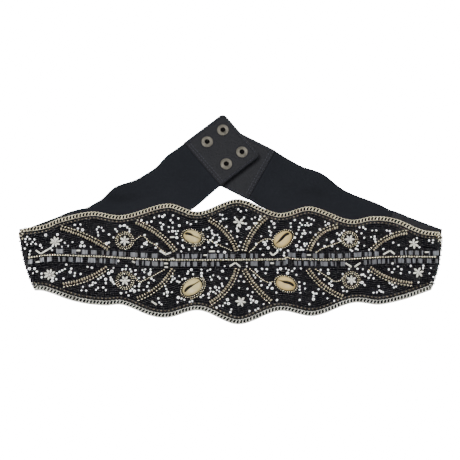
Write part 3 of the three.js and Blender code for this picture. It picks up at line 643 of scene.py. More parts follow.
def shell_material(name, body_colour, light_colour):
    """Glossy shell, paler in soft clouds, with a fine grain in its polish and bumps, and painted shade in its slit.
    """
    material, tree, shader = open_material(name)
    slit, place = corner_tint(tree), object_place(tree)
    cloud = cloud_noise(tree, place, 150.0, 4.0, 0.6)
    fine = cloud_noise(tree, place, 900.0, 3.0)
    body = blended(tree, cloud, body_colour, light_colour)
    # Painted shade: the slit goes near black
    set_shader(
        tree, shader, Base_Color=blended(tree, slit, body, SLIT_SHADE_COLOUR),
        Roughness=calculated(tree, "MAXIMUM", slit, calculated(tree, "MULTIPLY_ADD", fine, 0.2, 0.3)),
        Specular_IOR_Level=0.15, Coat_Roughness=0.2,
        Coat_Weight=calculated(tree, "MULTIPLY_ADD", slit, -0.15, 0.15),
        Normal=bumped(tree, fine, 0.00003, 0.5),
    )
    return material


def make_materials(colours):
    """Every finish of the belt, by name."""
    tone, tarnish, weave = bead_tone_group(), tarnish_group(), weave_group()
    return {
        "black": bead_material(
            "black_glass_beads", tone, (0.0022, 0.0022, 0.0034), tuple(colours.black_glass), 0.9, 0.04,
            Specular_IOR_Level=0.2,
        ),
        "gold": bead_material(
            "pale_gold_beads", tone, tuple(colours.gold), deepened(colours.gold, 0.5), 0.6, 0.2, Metallic=1.0
        ),
        "silver": bead_material(
            "silver_beads", tone, deepened(colours.silver, 0.85), deepened(colours.silver, 0.4), 0.5, 0.3,
            Metallic=0.4,
        ),
        "bronze": bead_material(
            "bronze_beads", tone, tuple(colours.bronze), deepened(colours.bronze, 0.5), 0.8, 0.24, Metallic=1.0
        ),
        "white": bead_material(
            "white_beads", tone, tuple(colours.white), deepened(colours.white, 0.62), 0.4, 0.28, Metallic=0.6,
            Coat_Weight=0.6, Coat_Roughness=0.12,
        ),
        "grey": bead_material(
            "grey_bugles", tone, tuple(colours.grey_glass), deepened(colours.grey_glass, 0.2), 1.1, 0.3,
            Metallic=0.2,
        ),
        "dim_bronze": bead_material(
            "dim_bronze_beads", tone, deepened(colours.bronze, 0.34), deepened(colours.bronze, 0.1), 0.8, 0.35,
            Metallic=1.0,
        ),
        "thread": bead_material(
            "thread", tone, deepened(colours.leatherette, 9.0), deepened(colours.leatherette, 5.0), 0.5, 0.6,
            Specular_IOR_Level=0.08,
        ),
        "gold_chain": metal_material(
            "pale_gold_chain", tarnish, deepened(colours.gold, 1.75), deepened(colours.gold, 0.4),
            260.0, 0.9, 0.15,
        ),
        "silver_chain": metal_material(
            "silver_chain", tarnish, deepened(colours.silver, 1.3), deepened(colours.silver, 0.35),
            260.0, 0.9, 0.15,
        ),
        "nickel": metal_material(
            "old_nickel", tarnish, tuple(colours.nickel), deepened(colours.nickel, 0.35), 240.0, 0.9, 0.26,
            0.00006, True,
        ),
        "cloth": woven_material(
            "backing_cloth", weave, tuple(colours.cloth), deepened(colours.cloth, 2.4),
            0.0008, 0.0008, 0.4, 0.0001,
        ),
        "elastic": woven_material(
            "elastic_webbing", weave, tuple(colours.elastic), deepened(colours.elastic, 1.9),
            0.0011, 0.0007, 0.7, 0.00016,
        ),
        "leatherette": leatherette_material(colours),
        "shell": shell_material("cream_cowrie", tuple(colours.shell), tuple(colours.shell_light)),
        "tan_shell": shell_material("tan_cowrie", tuple(colours.tan_shell), deepened(colours.tan_shell, 1.6)),
    }


# Filled by main, before the pieces are made
MATERIALS = {}

# Ornaments: (name, shares of the panel's half length and half depth, ...)
LEAVES = (
    ("leaf_upper_1", -0.793, 0.483, -0.573, 0.165, 0.044), ("leaf_upper_2", -0.44, 0.595, -0.258, 0.141, 0.066),
    ("leaf_upper_3", -0.095, 0.628, 0.033, 0.141, 0.095), ("leaf_upper_4", 0.168, 0.66, 0.066, 0.141, -0.075),
    ("leaf_upper_5", 0.505, 0.523, 0.371, 0.149, -0.144), ("leaf_upper_6", 0.83, 0.411, 0.67, 0.149, -0.1),
    ("leaf_lower_1", -0.774, -0.425, -0.576, -0.151, -0.062), ("leaf_lower_2", -0.428, -0.62, -0.267, -0.167, -0.095),
    ("leaf_lower_3", -0.088, -0.689, 0.033, -0.159, -0.1), ("leaf_lower_4", 0.186, -0.658, 0.066, -0.175, 0.05),
    ("leaf_lower_5", 0.521, -0.589, 0.365, -0.167, 0.083), ("leaf_lower_6", 0.844, -0.41, 0.655, -0.159, 0.075),
)
# Stars: name, place, reach of the rays, turn of each ray in degrees
STARS = (
    ("star_upper_left", -0.821, 0.256, 5.9, (12, 58, 100, 148, 190, 236, 282, 325)),
    ("star_lower_left", -0.841, -0.26, 6.6, (-15, 32, 78, 120, 165, 208, 255, 300)),
    ("star_upper_middle", 0.042, 0.587, 6.0, (42, 127, 176, 250, 286, 349)),
    ("star_lower_middle", 0.05, -0.66, 5.3, (50, 115, 175, 235, 290, 350)),
    ("star_upper_right", 0.863, 0.228, 5.5, (30, 90, 152, 215, 275, 328)),
    ("star_lower_right", 0.879, -0.222, 5.6, (8, 70, 135, 192, 252, 310)),
)
# Medallions: reach of the star and radii of the two rings, then name, place, size against the largest,
# turn of the star in degrees
MEDALLION_STAR = 5.3
MEDALLION_RINGS = (6.95, 8.8)
MEDALLIONS = (
    ("medallion_upper_left", -0.496, 0.292, 1.0, 30), ("medallion_lower_left", -0.491, -0.336, 1.0, 0),
    ("medallion_upper_right", 0.563, 0.311, 0.92, 0), ("medallion_lower_right", 0.567, -0.331, 0.95, 30),
)
# Shells: name, place, length, width, turn in degrees, side of the slit's open end, where its wide part begins,
# middle of a second row of beads in degrees round the shell
SHELLS = (
    ("shell_upper_left", -0.179, 0.356, 20.6, 13.9, -18, -1, 0.05, -10.0),
    ("shell_lower_left", -0.177, -0.441, 24.1, 16.2, 38, -1, -0.05, -60.0),
    ("shell_upper_right", 0.25, 0.316, 23.1, 15.7, 38, 1, -0.5, None),
    ("shell_lower_right", 0.261, -0.386, 22.5, 14.9, -22, 1, -0.3, None),
)
CENTRE_LINE = (
    (-0.94, 0.007), (-0.835, 0.046), (-0.591, 0.03), (-0.291, -0.009), (0.211, -0.001),
    (0.263, 0.03), (0.314, 0.003), (0.539, -0.009), (0.737, 0.022), (0.96, 0.018),
)
# Heights at which the photograph's places are read, and the row of the upright bugles in it
BEAD_TOP = 6.0
BUGLE_TOP = 5.5
BUGLE_ROW = 255
# Fine lines of beads, as places in the photograph
TENDRILS = (
    "135,240 138,237.5 142,236 146,238 150,242 156,245 160,249 165,252",
    "134,276 137,279.5 140,281.5 145,279.5 152,276 158,272.5 164,269.5",
    "205,239 212,241 219,244.5 228,248.5 231,250",
    "272,239.5 268,238.5 263,239.5 258,243 254,247.5 249.5,251.5",
    "272,281.5 268,282 262,279 257,274.5 250,268.5",
    "341,241.5 334,244 326,247 320,249.5 316.5,252",
    "344,276 340,280 335,281 329,277.5 322,273 316,269",
)
# Upright grey bugles on each side of the middle: middle of each group, and its width
UPPER_BUGLES = (
    "60,7 74,4 84,4 87,1 94,5.5 103,1.5 108,3 114.5,4.5 121,4 125,1 134,6 143,3.5 146.5,1.5 154.5,5 178,3 "
    "182.5,1 187,4 194.5,5.5 201,1 207.5,1 213,6 221,4.5 226.5,2 232.5,4 243.5,4.5 251.5,3 256.5,2.5 292,6 "
    "304,4 315,4.5 321.5,3.5 329.5,1.5 333,2.5 340,4 346.5,2.5 349.5,1 357.5,6 366,2.5 370,2.5 376.5,4 "
    "401.5,3 405.5,1.5 410.5,4 416.5,4.5 422,1.5 429,1 435.5,5.5"
)
LOWER_BUGLES = (
    "31,4 42.5,4 50,4 59.5,1.5 64.5,3 71,4.5 78.5,4 82,1 92,6 101,3 105,1 112.5,4.5 116.5,1 137.5,3 143,1 "
    "147.5,4 155,5.5 162,2.5 174,6.5 183,4 188.5,2 195,4.5 204.5,4.5 212.5,2.5 218,3 254,6.5 267,4 278,3.5 "
    "285.5,4 295.5,2 299.5,2 306,4 312,2.5 315.5,1 324,6 332,2.5 335.5,1.5 342.5,4.5 365,3 369.5,1.5 374,4 "
    "379,2 383,2 388,1 394.5,1 400.5,5 408,3.5 413.5,2.5 419.5,3.5 428.5,4.5 436,2"
)
# Single silver bugles: both ends of each, as places in the photograph
SILVER_BUGLES = (
    "36,251 41,254.5", "41,254.5 50,249.3", "160.5,250.5 165,254", "165,254.4 171,252", "270,252 273,255",
    "273,255 278,251", "383,255 389.5,251.3", "390,251 394.5,254.8", "229.5,266 235.3,262.3",
    "235.7,262.3 240.5,266.5", "345.5,263 351.5,267", "354.5,267 360.5,263", "76.5,251 80.5,251",
    "203.5,254.7 207,254.7", "307,254.7 311,254.7", "424.5,253 428.5,253", "36,263 40,262.6",
    "164,263 168,263", "164.5,266.6 168,266.8", "270.5,262.8 274,262.8", "170,258.7 174,257.9",
    "132,261 135,262.5", "209,251 215,250.8", "151.5,300.8 156.6,304.4", "170,237 174.5,236.9",
)
WHITE_BEADS = (
    "234.8,217.3 244,217.5 245.8,223.4 236.7,228.2 57.1,274 59.8,272.6 62.5,271.2 65.2,269.8 98.2,279.2 "
    "100.8,277.6 103.5,275.9 110.6,277.4 112.9,282 114.2,283.8 75,225.5 80.6,225 78.1,229 98.6,227.4 "
    "101.7,228 103.3,230.9 96.9,229.6 97.9,232.6 98.3,235.7 109,234.6 115.3,229.1 117,231.4 113.5,237.4 "
    "123.6,225.6 27.6,237.8 26,240 30.1,239.8 25.6,242.8 27.4,245.5 31.5,245 33,242.9 34.8,240.3 "
    "36.1,244.8 42.2,248.6 25.2,249.6 30.4,252 29.7,255.3 61.5,241 65.1,243.7 72.7,242.8 68.4,246.6 "
    "62.2,247.6 91,247.3 109,242.8 52.9,247.1 51,248.9 52.4,251 33.3,274 37.2,272.4 41.9,274.5 "
    "42.1,278.1 56.6,280 53.1,278.8 66.5,265.4 71.5,269.2 75.1,273.6 74.6,276.4 80.8,274.4 87.7,267.3 "
    "92,268.1 63.8,279.4 92.9,282.6 95.4,283 89.7,285.7 92.2,285 82.9,287.1 81.5,290.6 86.1,290.6 "
    "98,287.8 96,289.7 103.1,287.4 105.8,290 105.8,283 113.5,268 120.6,292.6 118.4,261 122.2,269.6 "
    "127.2,227.2 129.4,228.8 129.4,231.3 141.6,220 147.1,222.4 151.4,221.6 154.3,217.6 159.1,216 "
    "164.6,215 173,215.3 178.4,218.3 170.6,220.1 172.6,222.6 160.4,222.8 163.2,224.5 161.6,226.7 "
    "162.1,229.4 168.8,227 172.7,227.6 168.7,231.7 175.4,231 178,230.8 176.4,233.7 187,222.4 190.8,224.1 "
    "196.1,221.6 144.6,235.1 146.7,241.8 146.9,244.7 141.8,246.8 156.8,243.7 155.6,247.5 160.4,251 "
    "182.7,239.9 177.7,243.1 182.2,245.3 183.4,247.2 189,248.9 195,248.2 199.7,249 204.3,247.1 "
    "203.2,229.3 206.8,229 209.2,227.4 211.8,230.3 212.2,233 214.3,234.7 217.5,234.5 219.3,237.2 219,240 "
    "216.5,241.8 214.7,242.4 212.9,237.5 210.7,239.7 207.9,236.2 208.2,241.8 216.3,245 211.8,246.7 "
    "220,214.4 222.4,214.8 223,218.7 226.4,218.4 220.4,221 226.4,226.4 226.8,243.6 181.3,251 218.2,251.2 "
    "126.4,265.7 122.5,269 125.7,269 130,269 131.1,271.2 135.4,270 135.4,274 142.3,269.7 145.2,269 "
    "150.4,269 144.2,271.8 150.7,271.5 138.8,277.7 144,277.2 151.4,278.2 153.7,280 139.3,283.6 "
    "138.8,285.8 134.7,286 148.6,282.5 147.1,286 132.2,288.6 130.4,290.4 138.8,289.8 143.6,289.5 "
    "149,290.5 126.1,292 121.1,293 128.5,295.2 165.2,285.6 166.2,288.6 164,293.4 167.2,295.4 171.8,291.8 "
    "158.2,298 159.2,302.2 161.5,304 177.5,301.8 181.4,298.2 184.3,299.3 172.5,276 174.7,278.1 "
    "172.5,279.3 171.1,281.5 177.2,281 179.3,281.8 179,275.7 182.2,279 185,278.2 187.5,273.2 188.2,271 "
    "193,273.8 201.5,269.2 201.5,275.7 207.5,270.3 210.2,269.1 224.7,265.7 210.2,276.5 213.2,275 "
    "211.5,279.3 218,276.2 219.7,277.9 226.5,277.9 221.8,283.4 222.5,285.7 219,287.5 210.2,287.9 "
    "216.8,289.7 219.3,291.1 210.4,291.1 213.3,291.5 215.8,293.1 208.8,297.4 203,295 200.7,296.7 "
    "189.7,301.5 192.2,300.7 225,302.7 223,305.4 219.7,305.4 216.5,307.2 238.3,209.1 240.7,211.2 "
    "246.3,210.2 231,231 237.1,236.3 251.9,218.8 255,217.3 260.3,216.5 259.3,219.3 254.2,223.1 "
    "256.4,223.1 246.6,228.8 271.6,221.2 269.1,226.8 274.6,227.4 269.3,230.7 271,232.2 270.5,235 "
    "261.2,235.9 240.7,241.8 239.3,245.4 256.2,243.6 263.2,241.5 265,241.8 267.2,240.7 260.4,248.6 "
    "263,254.5 290.7,223.2 290.9,226.8 294.8,220 302.4,220 300.1,222.9 302,225 299,227 298.6,229.7 "
    "308.8,217.9 311.5,219 314,220.2 307.2,223.1 305.4,225.2 308.4,225.4 311.2,224.3 304,230.5 "
    "302.4,233.6 296.6,233.7 310.4,232.4 301.4,236.8 295,237.5 299.3,241.5 304.3,243.6 306.8,243.6 "
    "305,245.7 301.1,247.2 301.8,249.2 297.5,249.5 300.3,249.6 303.5,249.6 288.2,250.4 277.5,250 "
    "280.6,249.3 325.1,221.7 325.7,225.2 319.8,229.3 315.7,234.7 326.8,239.7 318.2,244.1 324.6,246.1 "
    "333.2,241.1 331.7,242.2 332.1,246.1 284.3,252.5 284,255.2 246.8,262.5 246.8,266 262.1,268.4 "
    "266.8,268.8 265.7,273 255.7,269.1 257.2,271.1 253.8,274.8 255.4,277.2 240.7,276.1 238.6,280.7 "
    "244,281.3 239,287.5 247.5,288.5 252.6,291.8 232.4,294.8 247.9,295 251.5,296.1 250.7,299 253.2,300 "
    "251.1,302.3 263.7,303.7 255.4,309.7 258.2,308.2 249.5,310.7 231.4,309 230.4,311.8 260.8,280.7 "
    "261.5,284.9 270.7,282.9 269.3,284.7 267.5,287.2 276.4,292.2 277,299.7 299.7,299.5 277.6,269.3 "
    "277.6,272.2 286,268.1 288.6,269.5 292.2,270.7 294.5,268.1 296.5,274.5 301,268.1 299.3,281.8 "
    "304.5,283.2 305.2,288.2 299.7,286.1 299.7,289.3 300.5,292.5 312.9,291.8 314,293.2 316.5,293.2 "
    "313.6,295.7 309.3,303.7 318.6,289 323.6,293.2 327.5,298 334.3,300.4 324.3,279 331.5,281.1 "
    "329.3,283.2 319,273.6 320.7,269.7 328.2,269.5 344,230.7 337,233.4 339.5,235 341.8,232.9 338.7,239.1 "
    "340.2,240.7 337.7,248.8 359.5,227.5 363.2,227.5 365.3,229.3 356.6,231.5 361.4,233.6 364.1,238.1 "
    "372.1,231 376.2,231 370.9,237.5 374.5,236.8 375.4,242.2 364.2,246.1 358.7,242.9 357.3,246.1 "
    "355.9,249 357.7,249.8 350.5,249.8 352,251.1 386.6,231 389.5,231.5 390.5,234 393,243.2 398.4,245.9 "
    "383.2,249.5 369,250.2 406.1,249.5 428.7,241.5 432.7,241.1 432.3,243.6 416.6,239 419.1,248.2 "
    "349,269.1 357.5,269.1 362.8,269.5 368.2,272 370.5,275.5 368.7,278.2 373.5,278.6 361.6,275 "
    "363.4,274.7 365,276.5 364.7,285 342.7,273.8 342.5,287 343.4,290.7 347,291 378.7,286.5 373.7,292.5 "
    "377,292.2 379.5,290.4 381.2,291.5 383.2,292.2 389.5,283.6 392.3,285.2 393.7,287.9 395.9,287.2 "
    "388.6,270 394,269.7 392,272.9 397.7,267.2 401.2,270 400.5,274 410.4,266.8 409.2,273.1 423,266.5 "
    "422.7,269 430.5,268.8 429.1,274.2 433.2,277.7 418.2,283.2 434.8,279.7 392.3,264"
)
# White beads that lie with their holes up
RING_BEADS = (
    "237.8,230.4 111.3,279.8 82.7,230.3 120.2,226 46.1,236.1 57.7,235.4 40.6,246.1 82.2,242.8 80.8,246.4 "
    "84.4,246.4 106.6,243.7 29.9,269.4 34.9,269.4 52.6,281.7 70.4,272.6 105.6,279.2 108.6,273.3 "
    "111.9,271.4 124.6,225.3 162.6,216.6 179.3,225.4 172.5,231 176.8,237.4 144.6,243.6 224.6,251.7 "
    "149.4,273.6 134.3,290.7 167.3,291.7 178.2,297.2 191.3,269.3 201.6,272.9 222.5,270.7 215.4,286.8 "
    "208.6,293.6 227.5,299.3 228.6,303.2 249.2,227.2 273.9,223.4 265.3,244 268.3,247.5 304.9,233.2 "
    "296.6,245.4 328.5,223.5 256.4,301.5 272.3,287.9 280.6,268.4 287.6,272.7 313.5,298.7 331.7,285 "
    "328.5,272.9 374.6,239.3 362,282.5"
)


def middle_line():
    """The line along the middle of the panel."""
    return rounded_line([on_panel(x, y) for x, y in CENTRE_LINE], 12)


class BeltOperator(bpy.types.Operator):
    """Makes one of the belt's pieces."""

    bl_options = {"REGISTER", "UNDO"}
    seed = 1

    def execute(self, context):
        sizes = context.scene.belt_sizes
        self.sizes = {key: getattr(sizes, key) / MM for key in BeltSizes.__annotations__}
        self.rng = np.random.default_rng(self.seed)
        self.build()
        return {"FINISHED"}


def along_line(points, pitch):
    """Places and headings at an even pitch along a line."""
    line = resampled(points, pitch)
    run = np.gradient(line, axis=0)
    return line[:, 0], line[:, 1], np.arctan2(run[:, 1], run[:, 0])


def edge_line(rows, distance, steps=260):
    """The panel's long edge, moved inward by a distance."""
    line = np.array([edge_point(rows, u) for u in np.linspace(0, 1, steps)])
    return offset_line(line, -distance if rows is TOP_EDGE else distance)


class BELT_OT_backing(BeltOperator):
    """Makes the backing cloth of the panel"""

    bl_idname = "belt.backing"
    bl_label = "Backing"

    def build(self):
        columns, rows = 190, 26
        verts, uv = [], []
        for face in (0, 1):
            for i in range(columns + 1):
                for j in range(rows + 1):
                    point = panel_point(i / columns, j / rows)
                    rim = min(i, columns - i, j, rows - j)
                    thin = 0.35 if rim == 0 else 0.0
                    z = float(surface.at(*point)) + (BACKING - thin if face else 0.15 + thin)
                    verts.append((point[0], point[1], z))
                    uv.append((point[0] * MM, point[1] * MM))
        at = lambda i, j, face: (face * (columns + 1) + i) * (rows + 1) + j
        faces = []
        for i in range(columns):
            for j in range(rows):
                faces.append((at(i, j, 1), at(i + 1, j, 1), at(i + 1, j + 1, 1), at(i, j + 1, 1)))
                faces.append((at(i, j, 0), at(i, j + 1, 0), at(i + 1, j + 1, 0), at(i + 1, j, 0)))
            faces.append((at(i, 0, 0), at(i + 1, 0, 0), at(i + 1, 0, 1), at(i, 0, 1)))
            faces.append((at(i, rows, 0), at(i, rows, 1), at(i + 1, rows, 1), at(i + 1, rows, 0)))
        for j in range(rows):
            faces.append((at(0, j, 0), at(0, j, 1), at(0, j + 1, 1), at(0, j + 1, 0)))
            faces.append((at(columns, j, 0), at(columns, j + 1, 0), at(columns, j + 1, 1), at(columns, j, 1)))
        piece = make_mesh("backing", verts, np.array(faces), uv=uv)
        finish_piece(piece, "backing_cloth", MATERIALS["cloth"], ["panel_backing"])


class BELT_OT_ground(BeltOperator):
    """Covers the panel with rows of black seed beads"""

    bl_idname = "belt.ground"
    bl_label = "Black seed beads"
    seed = 11
    MIDDLE_ROWS = 4
    EDGE_ROWS = 26
    FILL_TRIES = 60000
    CELL = 2

    def rows(self):
        """Rows that echo the two long edges, and straight ones along the middle."""
        pitch = self.sizes["row_pitch"]
        middle = middle_line()
        middle = np.vstack(((-208.5, middle[0, 1]), middle, (208.5, middle[-1, 1])))
        for k in range(-self.MIDDLE_ROWS, self.MIDDLE_ROWS + 1):
            yield middle + (0, k * pitch)
        for rows in (TOP_EDGE, LOW_EDGE):
            for k in range(self.EDGE_ROWS):
                yield edge_line(rows, CHAIN_WIDTH + 3.3 + k * pitch)

    def build(self):
        step, near = self.sizes["ground_length"] * 1.07, self.sizes["ground_length"] * 0.96
        taken, kept = {}, []

        def cell(x, y):
            return int(x // self.CELL), int(y // self.CELL)

        def free(x, y, room):
            i, j = cell(x, y)
            for a in (i - 1, i, i + 1):
                for b in (j - 1, j, j + 1):
                    for u, v in taken.get((a, b), ()):
                        if (u - x) ** 2 + (v - y) ** 2 < room * room:
                            return False
            return True

        def keep(x, y, angle):
            taken.setdefault(cell(x, y), []).append((x, y))
            kept.append((x, y, angle))

        def inside(x, y):
            border = CHAIN_WIDTH + 3.0
            if not end_at(-1, y) + 0.9 < x < end_at(1, y) - 0.9:
                return False
            return edge_rise(LOW_EDGE, x) + border < y < edge_rise(TOP_EDGE, x) - border

        for k, line in enumerate(self.rows()):
            x, y, angle = along_line(line, step)
            for point in zip(x, y + self.rng.normal(0, 0.07, len(y)), angle):
                room = near if k <= 2 * self.MIDDLE_ROWS else near * 1.02
                if inside(point[0], point[1]) and free(point[0], point[1], room):
                    keep(*point)
        # Loose beads fill the gaps that are left where rows meet.
        for _ in range(self.FILL_TRIES):
            x, y = self.rng.uniform(-210, 210), self.rng.uniform(-62, 62)
            if inside(x, y) and free(x, y, near * 1.12):
                keep(x, y, self.rng.uniform(-0.6, 0.6))
        beads = np.array(kept)
        shape = barrel(self.sizes["ground_length"], self.sizes["ground_width"] / 2, 6, GROUND_BEAD)
        for k, (start, end) in enumerate(((-300, -75), (-75, 60), (60, 300))):
            part = beads[(beads[:, 0] >= start) & (beads[:, 0] < end)]
            piece = bead_piece(
                f"ground_beads_{k + 1}", shape, part[:, 0], part[:, 1], BACKING + self.sizes["ground_width"] / 2,
                part[:, 2], self.rng, sizes=0.1, turn=0.28, lift=0.2,
            )
            finish_piece(piece, "black_beads", MATERIALS["black"], ["bead_field"] if k == 0 else ())


class BELT_OT_edge_rows(BeltOperator):
    """Sews the rows of black and bronze beads inside each chain, and the beads along the short ends"""

    bl_idname = "belt.edge_rows"
    bl_label = "Edge rows"
    seed = 12

    def build(self):
        width = self.sizes["ground_width"]
        round_bead = barrel(width * 0.95, width * 0.5, 8, ROUND_BEAD)
        black, bronze = [], []
        for rows in (TOP_EDGE, LOW_EDGE):
            black.append(np.stack(along_line(edge_line(rows, CHAIN_WIDTH + 0.6), width * 0.96), 1))
            dash = np.stack(along_line(edge_line(rows, CHAIN_WIDTH + 2.3), 1.9), 1)
            shown = np.arange(len(dash)) % 2 == 0
            bronze.append(dash[shown])
            black.append(dash[~shown])
        for side in (-1, 1):
            low = edge_point(LOW_EDGE, 0 if side < 0 else 1)[1] + 4
            top = edge_point(TOP_EDGE, 0 if side < 0 else 1)[1] - 4
            for inset in (0.2, 1.9):
                y = np.arange(low, top, width * 0.93)
                inward = [inset + 0.45 * math.sin(v * 1.3) + self.rng.uniform(-0.4, 0.2) for v in y]
                x = np.array([end_at(side, v) - side * run for v, run in zip(y, inward)])
                black.append(np.stack((x, y, np.full(len(y), math.pi / 2)), 1))
        long_bead = barrel(width * 1.1, width * 0.36, 8, ROUND_BEAD)
        for name, slot, finish, beads, shape, lift in (
            ("edge_black", "black_beads", "black", black, round_bead, 0.0),
            ("edge_bronze", "bronze_metal", "dim_bronze", bronze, long_bead, 0.3),
        ):
            x, y, angle = np.vstack(beads).T
            piece = bead_piece(name, shape, x, y, BACKING + width / 2 + lift, angle, self.rng)
            finish_piece(piece, slot, MATERIALS[finish])


def curb_link(pitch, wire, width):
    """One link of a curb chain: an oval of wire, twisted so that the chain lies flat."""
    half_long, half_wide = pitch / 2 + wire / 2, (width - wire) / 2
    around, sides = 14, 6
    centres = []
    for k in range(around):
        t = 2 * math.pi * k / around
        x = half_long * math.copysign(abs(math.cos(t)) ** 0.75, math.cos(t))
        w = half_wide * math.copysign(abs(math.sin(t)) ** 0.75, math.sin(t))
        twist = math.radians(38) * x / half_long
        centres.append((x + 0.3 * w, w * math.cos(twist), w * math.sin(twist)))
    centres = np.array(centres)
    run = np.roll(centres, -1, 0) - np.roll(centres, 1, 0)
    run /= np.linalg.norm(run, axis=1)[:, None]
    out = centres / np.linalg.norm(centres, axis=1)[:, None]
    out -= run * np.sum(out * run, 1)[:, None]
    out /= np.linalg.norm(out, axis=1)[:, None]
    up = np.cross(run, out)
    verts, quads = [], []
    for k in range(around):
        for s in range(sides):
            turn = 2 * math.pi * s / sides
            verts.append(centres[k] + (out[k] * math.cos(turn) + up[k] * math.sin(turn)) * wire / 2)
            n, m = (k + 1) % around, (s + 1) % sides
            quads.append((k * sides + s, k * sides + m, n * sides + m, n * sides + s))
    return np.array(verts), np.array(quads)


class BELT_OT_chains(BeltOperator):
    """Lays a curb chain along each long edge, turned in at its ends"""

    bl_idname = "belt.chains"
    bl_label = "Curb chains"
    seed = 13

    def build(self):
        pitch, wire = self.sizes["link_pitch"], self.sizes["link_wire"]
        link = curb_link(pitch, wire, CHAIN_WIDTH + 0.5)
        top = edge_line(TOP_EDGE, CHAIN_WIDTH / 2)
        low = edge_line(LOW_EDGE, CHAIN_WIDTH / 2)
        left = [(end_at(-1, y) + 1.2, y) for y in (22.0, 26.0)]
        right = [(end_at(1, y) - 1.0, y) for y in (23.0, 20.0, 17.5)]
        top = np.vstack((left, top[3:-2], right))
        left, right = (low[0, 0] - 0.5, low[0, 1] + 3.4), (low[-1, 0] + 0.8, low[-1, 1] + 3.0)
        low = np.vstack(([left], low[1:-1], [right]))
        for name, line, slot, finish in (
            ("chain_top", top, "pale_gold", "gold_chain"),
            ("chain_bottom", low, "silver_metal", "silver_chain"),
        ):
            x, y, angle = along_line(line, pitch)
            piece = bead_piece(name + "_links", link, x, y, CHAIN_MIDDLE, angle, self.rng, sizes=0.015, turn=0.03)
            finish_piece(piece, slot, MATERIALS[finish], [name])


class BELT_OT_leaves(BeltOperator):
    """Sews the leaves, each a row of small gold beads beside a row of larger bronze ones"""

    bl_idname = "belt.leaves"
    bl_label = "Leaves"
    seed = 14

    def build(self):
        gold, bronze = self.sizes["gold_width"], self.sizes["bronze_width"]
        rows = {"gold": [], "bronze": []}
        for name, x0, y0, x1, y1, bow in LEAVES:
            start, end = np.array(on_panel(x0, y0)), np.array(on_panel(x1, y1))
            run = end - start
            handle = (start + end) / 2 + np.array((-run[1], run[0])) * 2 * bow
            t = np.linspace(0, 1, 40)[:, None]
            spine = start * (1 - t) ** 2 + handle * 2 * t * (1 - t) + end * t**2
            # The larger beads face the middle of the panel.
            inner = 1.0 if (run[0] > 0) == ("lower" in name) else -1.0
            rows["bronze"].append(np.stack(along_line(offset_line(spine, 1.6 * inner), bronze * 1.08), 1))
            rows["gold"].append(np.stack(along_line(offset_line(spine, -1.65 * inner), gold * 1.88), 1))
        x, y, angle = np.vstack(rows["bronze"]).T
        shape = barrel(bronze * 0.74, bronze * 0.68, 10, ROUND_BEAD)
        piece = bead_piece("leaf_bronze_beads", shape, x, y, MOTIF_MIDDLE, angle, self.rng, sizes=0.12, turn=0.2)
        finish_piece(piece, "bronze_metal", MATERIALS["bronze"], [leaf[0] for leaf in LEAVES])
        x, y, angle = np.vstack(rows["gold"]).T
        shape = barrel(gold * 1.35, gold * 0.46, 8, ROUND_BEAD)
        piece = bead_piece("leaf_gold_beads", shape, x, y, MOTIF_MIDDLE, angle, self.rng)
        finish_piece(piece, "pale_gold", MATERIALS["gold"])


def star_rays(x, y, reach, turns):
    """The middle and heading of each ray of a star."""
    angle = np.radians(turns)
    return x + np.cos(angle) * reach * 0.56, y + np.sin(angle) * reach * 0.56, angle


class BELT_OT_stars(BeltOperator):
    """Sews the loose stars, and the stars inside the medallions"""

    bl_idname = "belt.stars"
    bl_label = "Stars"
    seed = 15

    def build(self):
        stars = [(*on_panel(x, y), reach, turns) for _, x, y, reach, turns in STARS]
        for _, x, y, size, turn in MEDALLIONS:
            stars.append((*on_panel(x, y), MEDALLION_STAR * size, np.arange(6) * 60 + turn))
        names = [star[0] for star in STARS] + [ring[0] + "_star" for ring in MEDALLIONS]
        rays = [np.stack(star_rays(*star), 1) for star in stars]
        x, y, angle = np.vstack(rays).T
        shape = barrel(4.6, 1.12, 9, RAY_BEAD)
        piece = bead_piece("star_rays", shape, x, y, MOTIF_MIDDLE - 0.1, angle, self.rng, sizes=0.12, turn=0.08)
        finish_piece(piece, "silver_metal", MATERIALS["silver"], names)
        x, y = np.array([star[:2] for star in stars]).T
        bead = barrel(2.2, 1.2, 9, ROUND_BEAD)
        piece = bead_piece("star_middles", bead, x, y, MOTIF_MIDDLE, 0.0, self.rng, sizes=0.12)
        finish_piece(piece, "silver_metal", MATERIALS["silver"])


